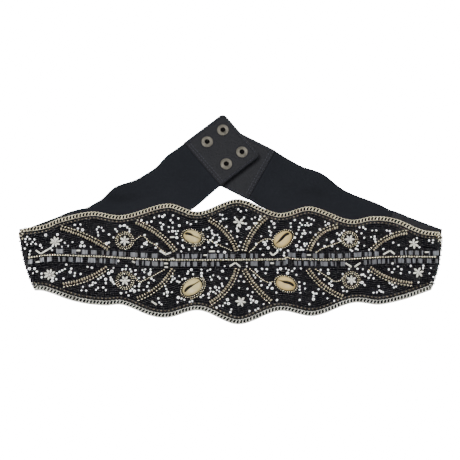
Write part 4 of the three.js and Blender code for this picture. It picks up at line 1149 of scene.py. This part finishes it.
class BELT_OT_rings(BeltOperator):
    """Sews the gold bead rings of the medallions and round the shells"""

    bl_idname = "belt.rings"
    bl_label = "Bead rings"
    seed = 16

    def build(self):
        gold = self.sizes["gold_width"]
        rows, names = [], []
        for name, x, y, size, _ in MEDALLIONS:
            names.append(name + "_ring")
            x, y = on_panel(x, y)
            for radius in [share * size for share in MEDALLION_RINGS]:
                count = int(2 * math.pi * radius / (gold * 1.28))
                turn = np.arange(count) * 2 * math.pi / count
                rows.append(np.stack((x + radius * np.cos(turn), y + radius * np.sin(turn), turn), 1))
        for name, x, y, length, width, turned, _, _, second in SHELLS:
            names.append(name + "_ring")
            spans = [(0.35, 0, 360)]
            if second is not None:
                spans.append((2.3, second - 65, second + 65))
            for out, start, end in spans:
                t = np.radians(np.linspace(start, end, 120))
                a, b = length / 2 + out, width / 2 + out
                angle = math.radians(turned)
                line = np.stack((a * np.cos(t), b * np.sin(t)), 1)
                turn = np.array(((math.cos(angle), -math.sin(angle)), (math.sin(angle), math.cos(angle))))
                line = line @ turn.T + on_panel(x, y)
                ring = np.stack(along_line(line, gold * 1.26), 1) + (0, 0, math.pi / 2)
                # A full ring's last bead would lie on its first.
                rows.append(ring[:-1] if end - start == 360 else ring)
        x, y, angle = np.vstack(rows).T
        shape = barrel(gold * 0.84, gold * 0.43, 8, ROUND_BEAD)
        piece = bead_piece("ring_beads", shape, x, y, MOTIF_MIDDLE, angle, self.rng, sizes=0.09, turn=0.2)
        finish_piece(piece, "pale_gold", MATERIALS["gold"], names)


def cowrie(length, width, height, open_side, wide_from):
    """A cowrie with its mouth up: corners, faces, and how much painted shade each corner takes in the slit."""
    columns, rows = 84, 72
    verts, tints = [], []
    for i in range(columns + 1):
        u = -math.cos(math.pi * i / columns)
        share = u * open_side
        half = math.sqrt(max(1 - u * u, 0.0)) ** 0.92 * width / 2 * (1 - 0.1 * share)
        tall = height * math.sqrt(max(1 - abs(u) ** 2.6, 0.0))
        slit_line = width * (0.045 * math.sin(share * 3.0) + 0.05)
        wide = 0.55 + 0.9 / (1 + math.exp(-(share - wide_from) * 9))
        reach = 1 / (1 + math.exp((abs(u + 0.04 * open_side) - 0.86) * 34))
        tooth = 0.5 + 0.5 * math.cos(u * length * 3.1)
        for j in range(rows + 1):
            v = 2 * j / rows - 1
            lean = math.copysign(abs(v) ** 1.8, v) * math.radians(112)
            tuck = max(abs(lean) - math.pi / 2, 0.0)
            y = half * math.sin(lean) if tuck == 0 else math.copysign(half * (1 - 0.25 * tuck), lean)
            y += slit_line * math.cos(min(abs(lean), math.pi / 2)) * math.sqrt(max(1 - u * u, 0.0))
            across = abs(y - slit_line * math.sqrt(max(1 - u * u, 0.0)))
            edge = wide * reach - 0.16 * tooth
            inside = 1 / (1 + math.exp(min((across - edge) / 0.07, 60.0)))
            lip = 0.32 * math.exp(-(((across - wide - 0.7) / 0.8) ** 2)) * reach
            ribs = 0.13 * tooth * math.exp(-((across / 3.2) ** 2)) * reach
            z = tall * max(math.cos(lean) * 0.72 + 0.28, 0.0)
            z += (lip + ribs - (0.5 + 1.6 * wide) * inside) * tall / height
            verts.append((u * length / 2, y, max(z, 0.0)))
            # The tint is painted shade in the slit, fuller towards its open end.
            tints.append(inside * (0.75 + 0.25 / (1 + math.exp(-(share - wide_from + 0.1) * 14))))
    at = lambda i, j: i * (rows + 1) + j
    quads = [
        (at(i, j), at(i + 1, j), at(i + 1, j + 1), at(i, j + 1)) for i in range(columns) for j in range(rows)
    ]
    return np.array(verts), np.array(quads), np.array(tints)


class BELT_OT_shells(BeltOperator):
    """Sets the four cowrie shells"""

    bl_idname = "belt.shells"
    bl_label = "Shells"

    def build(self):
        for name, x, y, length, width, turn, open_side, wide_from, _ in SHELLS:
            verts, quads, tints = cowrie(length * 0.87, width * 0.9, 5.2, open_side, wide_from)
            px, py = on_panel(x, y)
            axes = surface.axes(np.array([px]), np.array([py]), math.radians(turn))
            centre = [(px, py, float(surface.at(px, py)) + FIELD_TOP + 0.25)]
            placed, faces = spread((verts, quads), centre, axes)
            piece = make_mesh("cowrie_" + name[6:], placed, faces, tints)
            finish_piece(piece, "cowrie", MATERIALS["tan_shell" if "right" in name else "shell"], [name])


class BELT_OT_lines(BeltOperator):
    """Sews the gold line along the middle, and the fine curved lines of beads"""

    bl_idname = "belt.lines"
    bl_label = "Bead lines"
    seed = 18

    def build(self):
        width = self.sizes["gold_width"] * 1.22
        x, y, angle = along_line(middle_line(), width * 1.2)
        shape = barrel(width * 1.15, width / 2, 8, ROUND_BEAD)
        piece = bead_piece(
            "centre_line_beads", shape, x, y, MOTIF_MIDDLE - 0.1, angle, self.rng, sizes=0.1, turn=0.15
        )
        finish_piece(piece, "pale_gold", MATERIALS["gold"], ["centre_line"])
        small = self.sizes["tendril_width"]
        rows = []
        for text in TENDRILS:
            places = [at_pixel(px, py, BEAD_TOP) for px, py in read_pairs(text)]
            rows.append(np.stack(along_line(rounded_line(places), small * 1.55), 1))
        x, y, angle = np.vstack(rows).T
        shape = barrel(small * 1.35, small / 2, 8, ROUND_BEAD)
        piece = bead_piece(
            "tendril_beads", shape, x, y, FIELD_TOP + small * 0.5, angle, self.rng, sizes=0.1, turn=0.2
        )
        finish_piece(piece, "pale_gold", MATERIALS["gold"])


class BELT_OT_bugles(BeltOperator):
    """Sews the upright grey bugles along the middle, and the single silver ones"""

    bl_idname = "belt.bugles"
    bl_label = "Bugle beads"
    seed = 19

    def build(self):
        length, width = self.sizes["bugle_length"], self.sizes["bugle_width"]
        grey = []
        middle = middle_line()
        for side, text in ((1, UPPER_BUGLES), (-1, LOWER_BUGLES)):
            for px, wide in read_pairs(text):
                x, _ = at_pixel(px, BUGLE_ROW, BUGLE_TOP)
                count = max(int(round(wide / (width * 0.93))), 1)
                for k in range(count):
                    place = x + (k - (count - 1) / 2) * width * 1.02
                    line = float(np.interp(place, middle[:, 0], middle[:, 1]))
                    tilt = self.rng.normal(0, 0.05)
                    out = length / 2 + 1.75 + self.rng.uniform(-0.2, 0.2)
                    grey.append((place, line + side * out, math.pi / 2 + tilt))
        x, y, angle = np.array(grey).T
        shape = barrel(length, width / 2, 6, TUBE_BEAD)
        piece = bead_piece("grey_bugles", shape, x, y, FIELD_TOP + width * 0.35, angle, self.rng, turn=0.02,
                           flat_shaded=True)
        finish_piece(piece, "black_beads", MATERIALS["grey"])
        single = []
        for text in SILVER_BUGLES:
            (ax, ay), (bx, by) = [at_pixel(px, py, BEAD_TOP) for px, py in read_pairs(text)]
            heading, run = math.atan2(by - ay, bx - ax), math.hypot(bx - ax, by - ay)
            single.append(((ax + bx) / 2, (ay + by) / 2, heading, run))
        x, y, angle, run = np.array(single).T
        axes = surface.axes(x, y, angle)
        axes[:, :, 0] *= run[:, None]
        centres = np.stack((x, y, surface.at(x, y) + MOTIF_MIDDLE - 0.2), 1)
        shape = barrel(1.0, width * 0.6, 8, TUBE_BEAD)
        verts, faces = spread(shape, centres, axes)
        tints = np.repeat(self.rng.uniform(0, 1, len(x)), len(shape[0]))
        piece = make_mesh("silver_bugles", verts, faces, tints)
        finish_piece(piece, "silver_metal", MATERIALS["silver"])


class BELT_OT_scattered(BeltOperator):
    """Scatters the white beads, some lying with their holes up"""

    bl_idname = "belt.scattered"
    bl_label = "White beads"
    seed = 20

    def build(self):
        width = self.sizes["white_width"]
        x, y = np.array([at_pixel(px, py, BEAD_TOP) for px, py in read_pairs(WHITE_BEADS)]).T
        shape = barrel(width * 0.8, width / 2, 9, ROUND_BEAD)
        angle = self.rng.uniform(-1.6, 1.6, len(x))
        piece = bead_piece("white_beads", shape, x, y, MOTIF_MIDDLE, angle, self.rng, sizes=0.16)
        finish_piece(piece, "silver_metal", MATERIALS["white"])
        x, y = np.array([at_pixel(px, py, BEAD_TOP) for px, py in read_pairs(RING_BEADS)]).T
        shape = on_end(barrel(width * 0.62, width * 0.62, 12, OPEN_BEAD))
        piece = bead_piece("open_beads", shape, x, y, MOTIF_MIDDLE - 0.2, 0.0, self.rng, sizes=0.1)
        finish_piece(piece, "silver_metal", MATERIALS["white"])


# Straps and clasp


def unit(angle):
    return np.array((math.cos(angle), math.sin(angle)))


def turned_left(vector):
    return np.array((-vector[1], vector[0]))


CLASP_TILT = math.atan2(SNAP_ALONG, SNAP_ACROSS)
LEFT_HEADING = CLASP_TILT + CLASP_TURN
RIGHT_HEADING = math.pi - CLASP_TILT + CLASP_TURN
# Reach of each patch from the middle of its snaps: to its seam, to its tip, and its shift across
LEFT_PATCH = (29.2, 22.6, 0.0)
RIGHT_PATCH = (46.5, 16.0, 6.2)


def clasp_centre():
    """The middle of the four snaps, set by the right patch's corner just clearing the panel's top edge."""
    along = unit(RIGHT_HEADING)
    corner = -along * RIGHT_PATCH[0] + turned_left(along) * (RIGHT_PATCH[2] + PATCH_HALF)
    return np.array((CLASP_SHIFT, edge_rise(TOP_EDGE, CLASP_SHIFT + corner[0]) + CLASP_GAP - corner[1]))


class Strap:
    """Where a strap folds, runs and joins its patch. side is -1 for the left one, +1 for the right one."""

    def __init__(self, side, inset, heading, patch, slot_floor, rise_run, waves):
        self.side, self.slot_floor, self.rise_run, self.waves = side, slot_floor, rise_run, waves
        self.tab = unit(TAB_HEADING if side < 0 else math.pi - TAB_HEADING)
        self.patch = unit(heading)
        self.fold = np.array((end_at(side, TAB_RISE) - side * inset, TAB_RISE))
        self.tab_end = self.fold + self.tab * TAB_LENGTH
        self.seam = clasp_centre() - self.patch * patch[0] + turned_left(self.patch) * patch[2]
        reach = np.linalg.norm(self.tab_end - self.seam) / 3
        self.nodes = (
            self.tab_end, self.tab_end + self.tab * reach, self.seam - self.patch * reach, self.seam,
        )

    def spine(self, t):
        a, b, c, d = self.nodes
        place = a * (1 - t) ** 3 + 3 * b * t * (1 - t) ** 2 + 3 * c * t**2 * (1 - t) + d * t**3
        ahead = 3 * ((b - a) * (1 - t) ** 2 + 2 * (c - b) * t * (1 - t) + (d - c) * t**2)
        return place, ahead / np.linalg.norm(ahead)


def eased(value):
    t = min(max(value, 0.0), 1.0)
    return t * t * (3 - 2 * t)


def wave_at(waves, run):
    k = 0
    while k < len(waves) - 2 and run > waves[k + 1][0]:
        k += 1
    t = eased((run - waves[k][0]) / (waves[k + 1][0] - waves[k][0]))
    return (waves[k][1] * (1 - t) + waves[k + 1][1] * t, waves[k][2] * (1 - t) + waves[k + 1][2] * t)


def straps():
    return (
        Strap(-1, 7.0, LEFT_HEADING, LEFT_PATCH, LEFT_PATCH_BOTTOM + SLOT_RISE, 35.0, LEFT_WAVES),
        Strap(1, 3.8, RIGHT_HEADING, RIGHT_PATCH, RIGHT_PATCH_BOTTOM + SLOT_RISE, 12.0, RIGHT_WAVES),
    )


def rounded_section(half, thickness, columns):
    """A strip's section as a closed loop: (place across, height over the middle), with round edges."""
    edge = thickness / 2
    across = np.linspace(-half + edge, half - edge, columns)
    loop = [(w, edge) for w in across]
    loop += [(half - edge + edge * math.sin(a), edge * math.cos(a)) for a in (math.pi / 3, 2 * math.pi / 3)]
    loop += [(w, -edge) for w in across[::-1]]
    loop += [(-half + edge - edge * math.sin(a), -edge * math.cos(a)) for a in (math.pi / 3, 2 * math.pi / 3)]
    return loop


def strip_mesh(name, rows, uv):
    """A closed strip through rows of corners, capped at both ends."""
    count, loop = len(rows), len(rows[0])
    faces = [
        (i * loop + k, (i + 1) * loop + k, (i + 1) * loop + (k + 1) % loop, i * loop + (k + 1) % loop)
        for i in range(count - 1)
        for k in range(loop)
    ]
    half = loop // 2
    for base, flip in ((0, False), ((count - 1) * loop, True)):
        for k in range(half - 1):
            cap = (base + k, base + k + 1, base + loop - 3 - k, base + loop - 2 - k)
            if min(cap) >= base and loop - 3 - k > k + 1:
                faces.append(cap[::-1] if flip else cap)
    return make_mesh(name, np.vstack(rows), faces, uv=np.vstack(uv))


class BELT_OT_elastics(BeltOperator):
    """Weaves the two elastic straps, which wave between their tabs and patches"""

    bl_idname = "belt.elastics"
    bl_label = "Elastic straps"

    def build(self):
        for strap, side_name in zip(straps(), ("left", "right")):
            length = sum(
                np.linalg.norm(strap.spine((k + 1) / 60)[0] - strap.spine(k / 60)[0]) for k in range(60)
            )
            stations = [-(LAP_LENGTH - 0.3) / length] + list(np.linspace(0, 1, 110)) + [1 + 11.7 / length]
            rows, uv = [], []
            for t in stations:
                run = min(max(t, 0.0), 1.0)
                centre, ahead = strap.spine(run)
                centre = centre + ahead * (t - run) * length
                facing = turned_left(ahead)
                shift, lift = wave_at(strap.waves, run)
                row, flat = [], []
                for w, h in rounded_section(ELASTIC_WIDTH / 2, ELASTIC_THICKNESS, 24):
                    across = (w + ELASTIC_WIDTH / 2) / ELASTIC_WIDTH
                    edge = w + shift * ELASTIC_WIDTH * across
                    point = centre - facing * strap.side * edge
                    free = point[1] - edge_rise(TOP_EDGE, point[0])
                    waved = WAVE_HEIGHT * lift * eased((free - WAVE_MARGIN) / WAVE_REACH) * across
                    to_seam = (1 - run) * length
                    risen = strap.slot_floor * eased(1 - to_seam / strap.rise_run) * eased(free / CLASP_GAP)
                    z = waved * eased(to_seam / strap.rise_run) + risen + ELASTIC_THICKNESS / 2
                    row.append((point[0], point[1], z + h * 0.98))
                    flat.append((w * MM, t * length * MM))
                rows.append(row)
                uv.append(flat)
            piece = strip_mesh(f"elastic_{side_name}_webbing", rows, uv)
            finish_piece(piece, "elastic", MATERIALS["elastic"], [f"elastic_{side_name}"])


class BELT_OT_tabs(BeltOperator):
    """Folds the leatherette tabs round the ends of the panel"""

    bl_idname = "belt.tabs"
    bl_label = "Tabs"

    def build(self):
        tilt = TAB_HEADING / 2
        inward, line = unit(tilt), turned_left(unit(tilt))
        half, arc = ELASTIC_WIDTH / 2 - 0.5, math.pi / 2 * FOLD_RADIUS
        for strap, side_name in zip(straps(), ("left", "right")):

            def bent(p, w, h, strap=strap):
                q = p * math.cos(tilt) - w * math.sin(tilt)
                along = p * math.sin(tilt) + w * math.cos(tilt)
                if q >= arc:
                    ramp = eased((p - (TAB_LENGTH - LAP_LENGTH - LAP_RAMP)) / LAP_RAMP)
                    reach, z, nx, nz = q - arc, TAB_THICKNESS / 2 + ELASTIC_STACK * ramp, 0.0, -1.0
                elif q <= -arc:
                    reach, z, nx, nz = -q - arc, TAB_THICKNESS / 2 + 2 * FOLD_RADIUS, 0.0, 1.0
                else:
                    nx, nz = -math.cos(q / FOLD_RADIUS), -math.sin(q / FOLD_RADIUS)
                    reach, z = nx * FOLD_RADIUS, TAB_THICKNESS / 2 + FOLD_RADIUS * (1 + nz)
                flat = inward * (reach + nx * h) + line * along
                return (strap.fold[0] - strap.side * flat[0], strap.fold[1] + flat[1], z + nz * h)

            stations = list(np.linspace(-TAB_LEAF, -9, 8)) + list(np.linspace(-8.5, 8.5, 52))
            stations += list(np.linspace(10, TAB_LENGTH, 44))
            rows, uv = [], []
            for p in stations:
                loop = rounded_section(half, TAB_THICKNESS, 22)
                rows.append([bent(p, w, -h) for w, h in loop])
                uv.append([(w * MM, p * MM) for w, h in loop])
            piece = strip_mesh(f"tab_{side_name}_leatherette", rows, uv)
            finish_piece(piece, "leatherette", MATERIALS["leatherette"], [f"tab_{side_name}"])
            pitch = self.sizes["stitch_length"] + self.sizes["stitch_gap"]
            place = np.array([
                bent(p, w, -TAB_THICKNESS / 2 - STITCH_SINK)
                for p in (TAB_LENGTH - 2.2, TAB_LENGTH - 5.2)
                for w in np.arange(-half + 2, half - 2, pitch)
            ])
            angle = math.atan2(-strap.side * strap.tab[0], strap.side * strap.tab[1])
            angles = np.full(len(place), angle)
            stitch_piece(f"tab_{side_name}_stitches", place, angles, self.sizes["stitch_length"])


def stitch_piece(name, places, angles, length):
    """Stitches lying flat at each place."""
    shape = barrel(length, 0.3, 6, ((-1.0, 0.2), (-0.85, 0.8), (0.0, 1.0), (0.85, 0.8), (1.0, 0.2)))
    flat = np.stack((np.cos(angles), np.sin(angles), np.zeros(len(angles))), -1)
    away = np.tile((0.0, 0.0, 1.0), (len(angles), 1))
    axes = np.stack((flat, np.cross(away, flat), away), -1)
    verts, faces = spread(shape, places, axes)
    tints = np.repeat((np.arange(len(places)) * 0.37) % 1, len(shape[0]))
    return finish_piece(make_mesh(name, verts, faces, tints), "leatherette", MATERIALS["thread"])


# How far each ring of a patch's mesh lies inside its outline: close together at the rim and the stitches
PATCH_RINGS = (
    0.0, 0.05, 0.25, 0.6, 1.0, 1.5, 2.0, 2.3, 2.6, 3.0, 3.6, 4.4, 5.5, 7.0, 9.0, 12.0, 16.0, 20.0, 26.0,
)
STITCH_INSET = 2.3
WELT_INSET = 4.9
STITCH_SINK = 0.12


def patch_distance(x, y, low_x, high_x, half, middle):
    """How far a place lies inside the outline of a patch."""
    y = abs(y - middle)
    inside = min(x - low_x, high_x - x, half - y)
    cx, cy = high_x - PATCH_CORNER, half - PATCH_CORNER
    if x > cx and y > cy:
        inside = PATCH_CORNER - math.hypot(x - cx, y - cy)
    return inside


class BELT_OT_patches(BeltOperator):
    """Sews the two leatherette patches of the clasp"""

    bl_idname = "belt.patches"
    bl_label = "Clasp patches"

    def build(self):
        centre = clasp_centre()
        for name, heading, bottom, (seam, tip, shift) in (
            ("left", LEFT_HEADING, LEFT_PATCH_BOTTOM, LEFT_PATCH),
            ("right", RIGHT_HEADING, RIGHT_PATCH_BOTTOM, RIGHT_PATCH),
        ):
            along, across = unit(heading), turned_left(unit(heading))
            outline = self.outline(seam, tip, shift)
            verts, faces, uv = [], [], []
            count = len(outline)
            tops = []
            for inset in PATCH_RINGS:
                ring = []
                for x, y in outline:
                    px = min(max(x, -seam + inset), tip - inset)
                    py = min(max(y, shift - PATCH_HALF + inset), shift + PATCH_HALF - inset)
                    corner = max(PATCH_CORNER - inset, 0.0)
                    cx, cy = tip - inset - corner, PATCH_HALF - inset - corner
                    if px > cx and abs(py - shift) > cy and corner > 0:
                        sy = 1 if py > shift else -1
                        dx, dy = x - (tip - PATCH_CORNER), abs(y - shift) - (PATCH_HALF - PATCH_CORNER)
                        size = max(math.hypot(dx, dy), 1e-6)
                        px, py = cx + dx / size * corner, shift + sy * (cy + dy / size * corner)
                    ring.append((px, py))
                tops.append(ring)
            for face in (1, -1):
                for ring in tops:
                    for px, py in ring:
                        inside = patch_distance(px, py, -seam, tip, PATCH_HALF, shift)
                        drop = 0.9 * math.exp(-((max(inside, 0.0) / 0.55) ** 1.3))
                        stitched = 0.4 * math.exp(-(((inside - STITCH_INSET) / 0.5) ** 2))
                        welt = 0.4 * math.exp(-(((px + seam - WELT_INSET) / 0.5) ** 2))
                        z = bottom + PATCH_THICKNESS / 2 + face * (PATCH_THICKNESS / 2 - drop - stitched - welt)
                        spot = centre + along * px + across * py
                        verts.append((spot[0], spot[1], z))
                        uv.append((px * MM, py * MM))
            layers = len(PATCH_RINGS)
            for f in range(2):
                base = f * layers * count
                for r in range(layers - 1):
                    for k in range(count):
                        a, b = base + r * count + k, base + r * count + (k + 1) % count
                        quad = (a, b, b + count, a + count)
                        faces.append(quad if f == 0 else quad[::-1])
            for k in range(count):
                a, b = k, (k + 1) % count
                low = layers * count
                faces.append((b, a, low + a, low + b))
            piece = make_mesh(f"patch_{name}_leatherette", verts, faces, uv=uv)
            finish_piece(piece, "leatherette", MATERIALS["leatherette"], [f"patch_{name}"])
            self.stitch(name, centre, along, across, heading, bottom + PATCH_THICKNESS, seam, tip, shift)

    @staticmethod
    def outline(seam, tip, shift):
        """The edge of a patch, with round corners at its tip, at an even pitch."""
        corner = []
        for a in np.linspace(-math.pi / 2, 0, 7):
            corner.append((tip - PATCH_CORNER + PATCH_CORNER * math.cos(a),
                           shift - PATCH_HALF + PATCH_CORNER + PATCH_CORNER * math.sin(a)))
        upper = [(x, 2 * shift - y) for x, y in corner[::-1]]
        line = [(-seam, shift + PATCH_HALF), (-seam, shift - PATCH_HALF)] + corner + upper
        line.append(line[0])
        out = []
        for (ax, ay), (bx, by) in zip(line, line[1:]):
            steps = max(int(math.hypot(bx - ax, by - ay) / 2.2), 1)
            out += [(ax + (bx - ax) * k / steps, ay + (by - ay) * k / steps) for k in range(steps)]
        return out

    def stitch(self, name, centre, along, across, heading, top, seam, tip, shift):
        pitch = self.sizes["stitch_length"] + self.sizes["stitch_gap"]
        inset = STITCH_INSET
        places, angles = [], []
        low, high = shift - PATCH_HALF + inset, shift + PATCH_HALF - inset
        lines = [
            ((-seam + inset, low), (tip - PATCH_CORNER, low)),
            ((-seam + inset, high), (tip - PATCH_CORNER, high)),
            ((tip - inset, low + 3), (tip - inset, high - 3)), ((-seam + inset, low), (-seam + inset, high)),
            ((-seam + WELT_INSET, low), (-seam + WELT_INSET, high)),
        ]
        for (ax, ay), (bx, by) in lines:
            run = math.hypot(bx - ax, by - ay)
            for k in range(int(run / pitch)):
                s = (k + 0.5) * pitch / run
                spot = centre + along * (ax + (bx - ax) * s) + across * (ay + (by - ay) * s)
                places.append((spot[0], spot[1], top - STITCH_SINK))
                angles.append(math.atan2(by - ay, bx - ax) + heading)
        stitch_piece(f"patch_{name}_stitches", np.array(places), np.array(angles), self.sizes["stitch_length"])


# Turned profiles of the snaps: (radius, height over the underside of the patch)
SNAP_PROFILE = (
    (0.0, -0.8), (2.4, -0.8), (2.4, -2.1), (2.6, -2.2), (5.0, -2.2), (5.2, -2.0), (5.2, -0.5), (5.0, -0.3),
    (2.7, -0.3), (2.7, 3.4), (5.7, 3.45), (6.0, 3.6), (6.05, 3.85), (5.8, 4.1), (5.35, 4.3), (4.95, 4.36),
    (4.75, 4.16), (4.5, 4.18), (4.3, 4.5), (3.9, 4.64), (3.5, 4.64), (3.25, 4.42), (3.05, 4.42), (2.9, 4.6),
    (2.75, 4.6), (2.5, 4.3), (2.35, 3.8), (2.3, 3.56), (0.0, 3.5),
)
# Radius and height under which a corner of a snap lies in its hole, which is painted near black as shade
SNAP_HOLE = (2.45, 3.9)
STUD_PROFILE = (
    (0.0, -1.1), (4.6, -1.08), (5.3, -0.95), (5.6, -0.7), (5.5, -0.4), (5.2, -0.3), (1.6, -0.3), (1.6, 3.5),
    (4.4, 3.5), (4.6, 3.7), (4.6, 3.95), (4.3, 4.1), (1.8, 4.12), (1.6, 4.3), (2.0, 4.7), (2.1, 4.9),
    (1.9, 5.1), (1.5, 5.2), (0.0, 5.2),
)


def turned_piece(name, profile, centre, bottom, steps=40):
    """A profile turned about an upright line through a centre."""
    turn = np.arange(steps) * 2 * math.pi / steps
    verts = [
        (centre[0] + r * math.cos(t), centre[1] + r * math.sin(t), bottom + h) for r, h in profile for t in turn
    ]
    quads = [
        (k * steps + i, k * steps + (i + 1) % steps, (k + 1) * steps + (i + 1) % steps, (k + 1) * steps + i)
        for k in range(len(profile) - 1)
        for i in range(steps)
    ]
    # Corners in a snap's hole are marked for painted shade
    in_hole = lambda r, h: float(r < SNAP_HOLE[0] and h < SNAP_HOLE[1])
    tints = [in_hole(r, h) for r, h in profile for _ in turn] if profile is SNAP_PROFILE else None
    return make_mesh(name, verts, np.array(quads), tints)


class BELT_OT_snaps(BeltOperator):
    """Turns the snaps and studs of the clasp"""

    bl_idname = "belt.snaps"
    bl_label = "Snaps"

    def build(self):
        centre = clasp_centre()
        for k, (a, b) in enumerate(((-1, -1), (-1, 1), (1, -1), (1, 1))):
            for name, heading, bottom, profile in (
                ("snap", LEFT_HEADING, LEFT_PATCH_BOTTOM, SNAP_PROFILE),
                ("stud", RIGHT_HEADING, RIGHT_PATCH_BOTTOM, STUD_PROFILE),
            ):
                along = unit(heading)
                place = centre + along * a * SNAP_ALONG / 2 + turned_left(along) * b * SNAP_ACROSS / 2
                piece = turned_piece(f"{name}_metal_{k + 1}", profile, place, bottom)
                finish_piece(piece, "nickel", MATERIALS["nickel"], [f"{name}_{k + 1}"])


# The stage: how bright the floor looks by itself, the light from all round,
# and each lamp's place, width and power
FLOOR_GLOW = 16.0
SKY_STRENGTH = 0.3
LIGHTS = (
    ("soft_key", (-0.55, 0.2, 1.5), 0.6, 70.0),
    ("soft_fill", (0.8, 0.5, 1.4), 1.0, 45.0),
    ("glint", (0.25, -0.9, 1.2), 0.16, 20.0),
)


class BELT_OT_stage(bpy.types.Operator):
    """Sets the pale floor, the soft lights and the camera"""

    bl_idname = "belt.stage"
    bl_label = "Stage"

    def execute(self, context):
        scene = context.scene
        middle = Vector(((CAMERA_AIM[0] + PANEL_MIDDLE[0]) * MM, (CAMERA_AIM[1] + PANEL_MIDDLE[1]) * MM, 0))
        back = Vector((0, -math.cos(CAMERA_TILT), math.sin(CAMERA_TILT)))
        data = bpy.data.cameras.new("camera")
        data.sensor_width = SENSOR
        data.lens = SENSOR * CAMERA_DISTANCE / PHOTO_SIZE
        data.clip_start, data.clip_end = 0.05, 50
        camera = bpy.data.objects.new("camera", data)
        camera.location = middle + back * CAMERA_DISTANCE * MM
        camera.rotation_euler = (-back).to_track_quat("-Z", "Y").to_euler()
        scene.collection.objects.link(camera)
        scene.camera = camera

        reach, low = 4.0, -0.0002
        corners = [(-reach, -reach, low), (reach, -reach, low), (reach, reach, low), (-reach, reach, low)]
        mesh = bpy.data.meshes.new("floor")
        mesh.from_pydata(corners, [], [(0, 1, 2, 3)])
        floor = bpy.data.objects.new("floor", mesh)
        scene.collection.objects.link(floor)
        material, tree, shader = open_material("pale_floor")
        seen = add_node(tree, "ShaderNodeLightPath").outputs["Is Camera Ray"]
        set_shader(
            tree, shader, Base_Color=(0.93, 0.93, 0.93), Roughness=0.9, Specular_IOR_Level=0.1,
            Emission_Color=(1, 1, 1), Emission_Strength=calculated(tree, "MULTIPLY", seen, FLOOR_GLOW),
        )
        mesh.materials.append(material)

        world = bpy.data.worlds.new("studio")
        world.use_nodes = True
        background = world.node_tree.nodes["Background"]
        background.inputs["Color"].default_value = (1, 1, 1, 1)
        background.inputs["Strength"].default_value = SKY_STRENGTH
        scene.world = world
        for name, place, size, power in LIGHTS:
            light = bpy.data.lights.new(name, "AREA")
            light.size, light.energy = size, power
            lamp = bpy.data.objects.new(name, light)
            lamp.location = place
            lamp.rotation_euler = (-Vector(place)).to_track_quat("-Z", "Y").to_euler()
            scene.collection.objects.link(lamp)
        return {"FINISHED"}


PIECE_OPERATORS = (
    BELT_OT_tabs, BELT_OT_elastics, BELT_OT_patches, BELT_OT_snaps, BELT_OT_backing, BELT_OT_ground,
    BELT_OT_edge_rows, BELT_OT_chains, BELT_OT_leaves, BELT_OT_stars, BELT_OT_rings, BELT_OT_shells,
    BELT_OT_lines, BELT_OT_bugles, BELT_OT_scattered,
)


class BELT_PT_panel(bpy.types.Panel):
    """Lists the belt's pieces, sizes and colours"""

    bl_idname = "BELT_PT_panel"
    bl_label = "Beaded belt"
    bl_space_type = "VIEW_3D"
    bl_region_type = "UI"
    bl_category = "Belt"

    def draw(self, context):
        for group in (context.scene.belt_sizes, context.scene.belt_colours):
            box = self.layout.box()
            for key in type(group).__annotations__:
                box.prop(group, key)
        for operator in (BELT_OT_stage, *PIECE_OPERATORS):
            self.layout.operator(operator.bl_idname)


CLASSES = (BeltSizes, BeltColours, BELT_OT_stage, *PIECE_OPERATORS, BELT_PT_panel)


def register():
    for made in CLASSES:
        bpy.utils.register_class(made)
    bpy.types.Scene.belt_sizes = bpy.props.PointerProperty(type=BeltSizes)
    bpy.types.Scene.belt_colours = bpy.props.PointerProperty(type=BeltColours)


def unregister():
    del bpy.types.Scene.belt_colours
    del bpy.types.Scene.belt_sizes
    for made in reversed(CLASSES):
        bpy.utils.unregister_class(made)


def main():
    """Registers the classes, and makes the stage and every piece."""
    register()
    MATERIALS.update(make_materials(bpy.context.scene.belt_colours))
    for operator in (BELT_OT_stage, *PIECE_OPERATORS):
        group, name = operator.bl_idname.split(".")
        getattr(getattr(bpy.ops, group), name)()


if __name__ == "__main__":
    main()
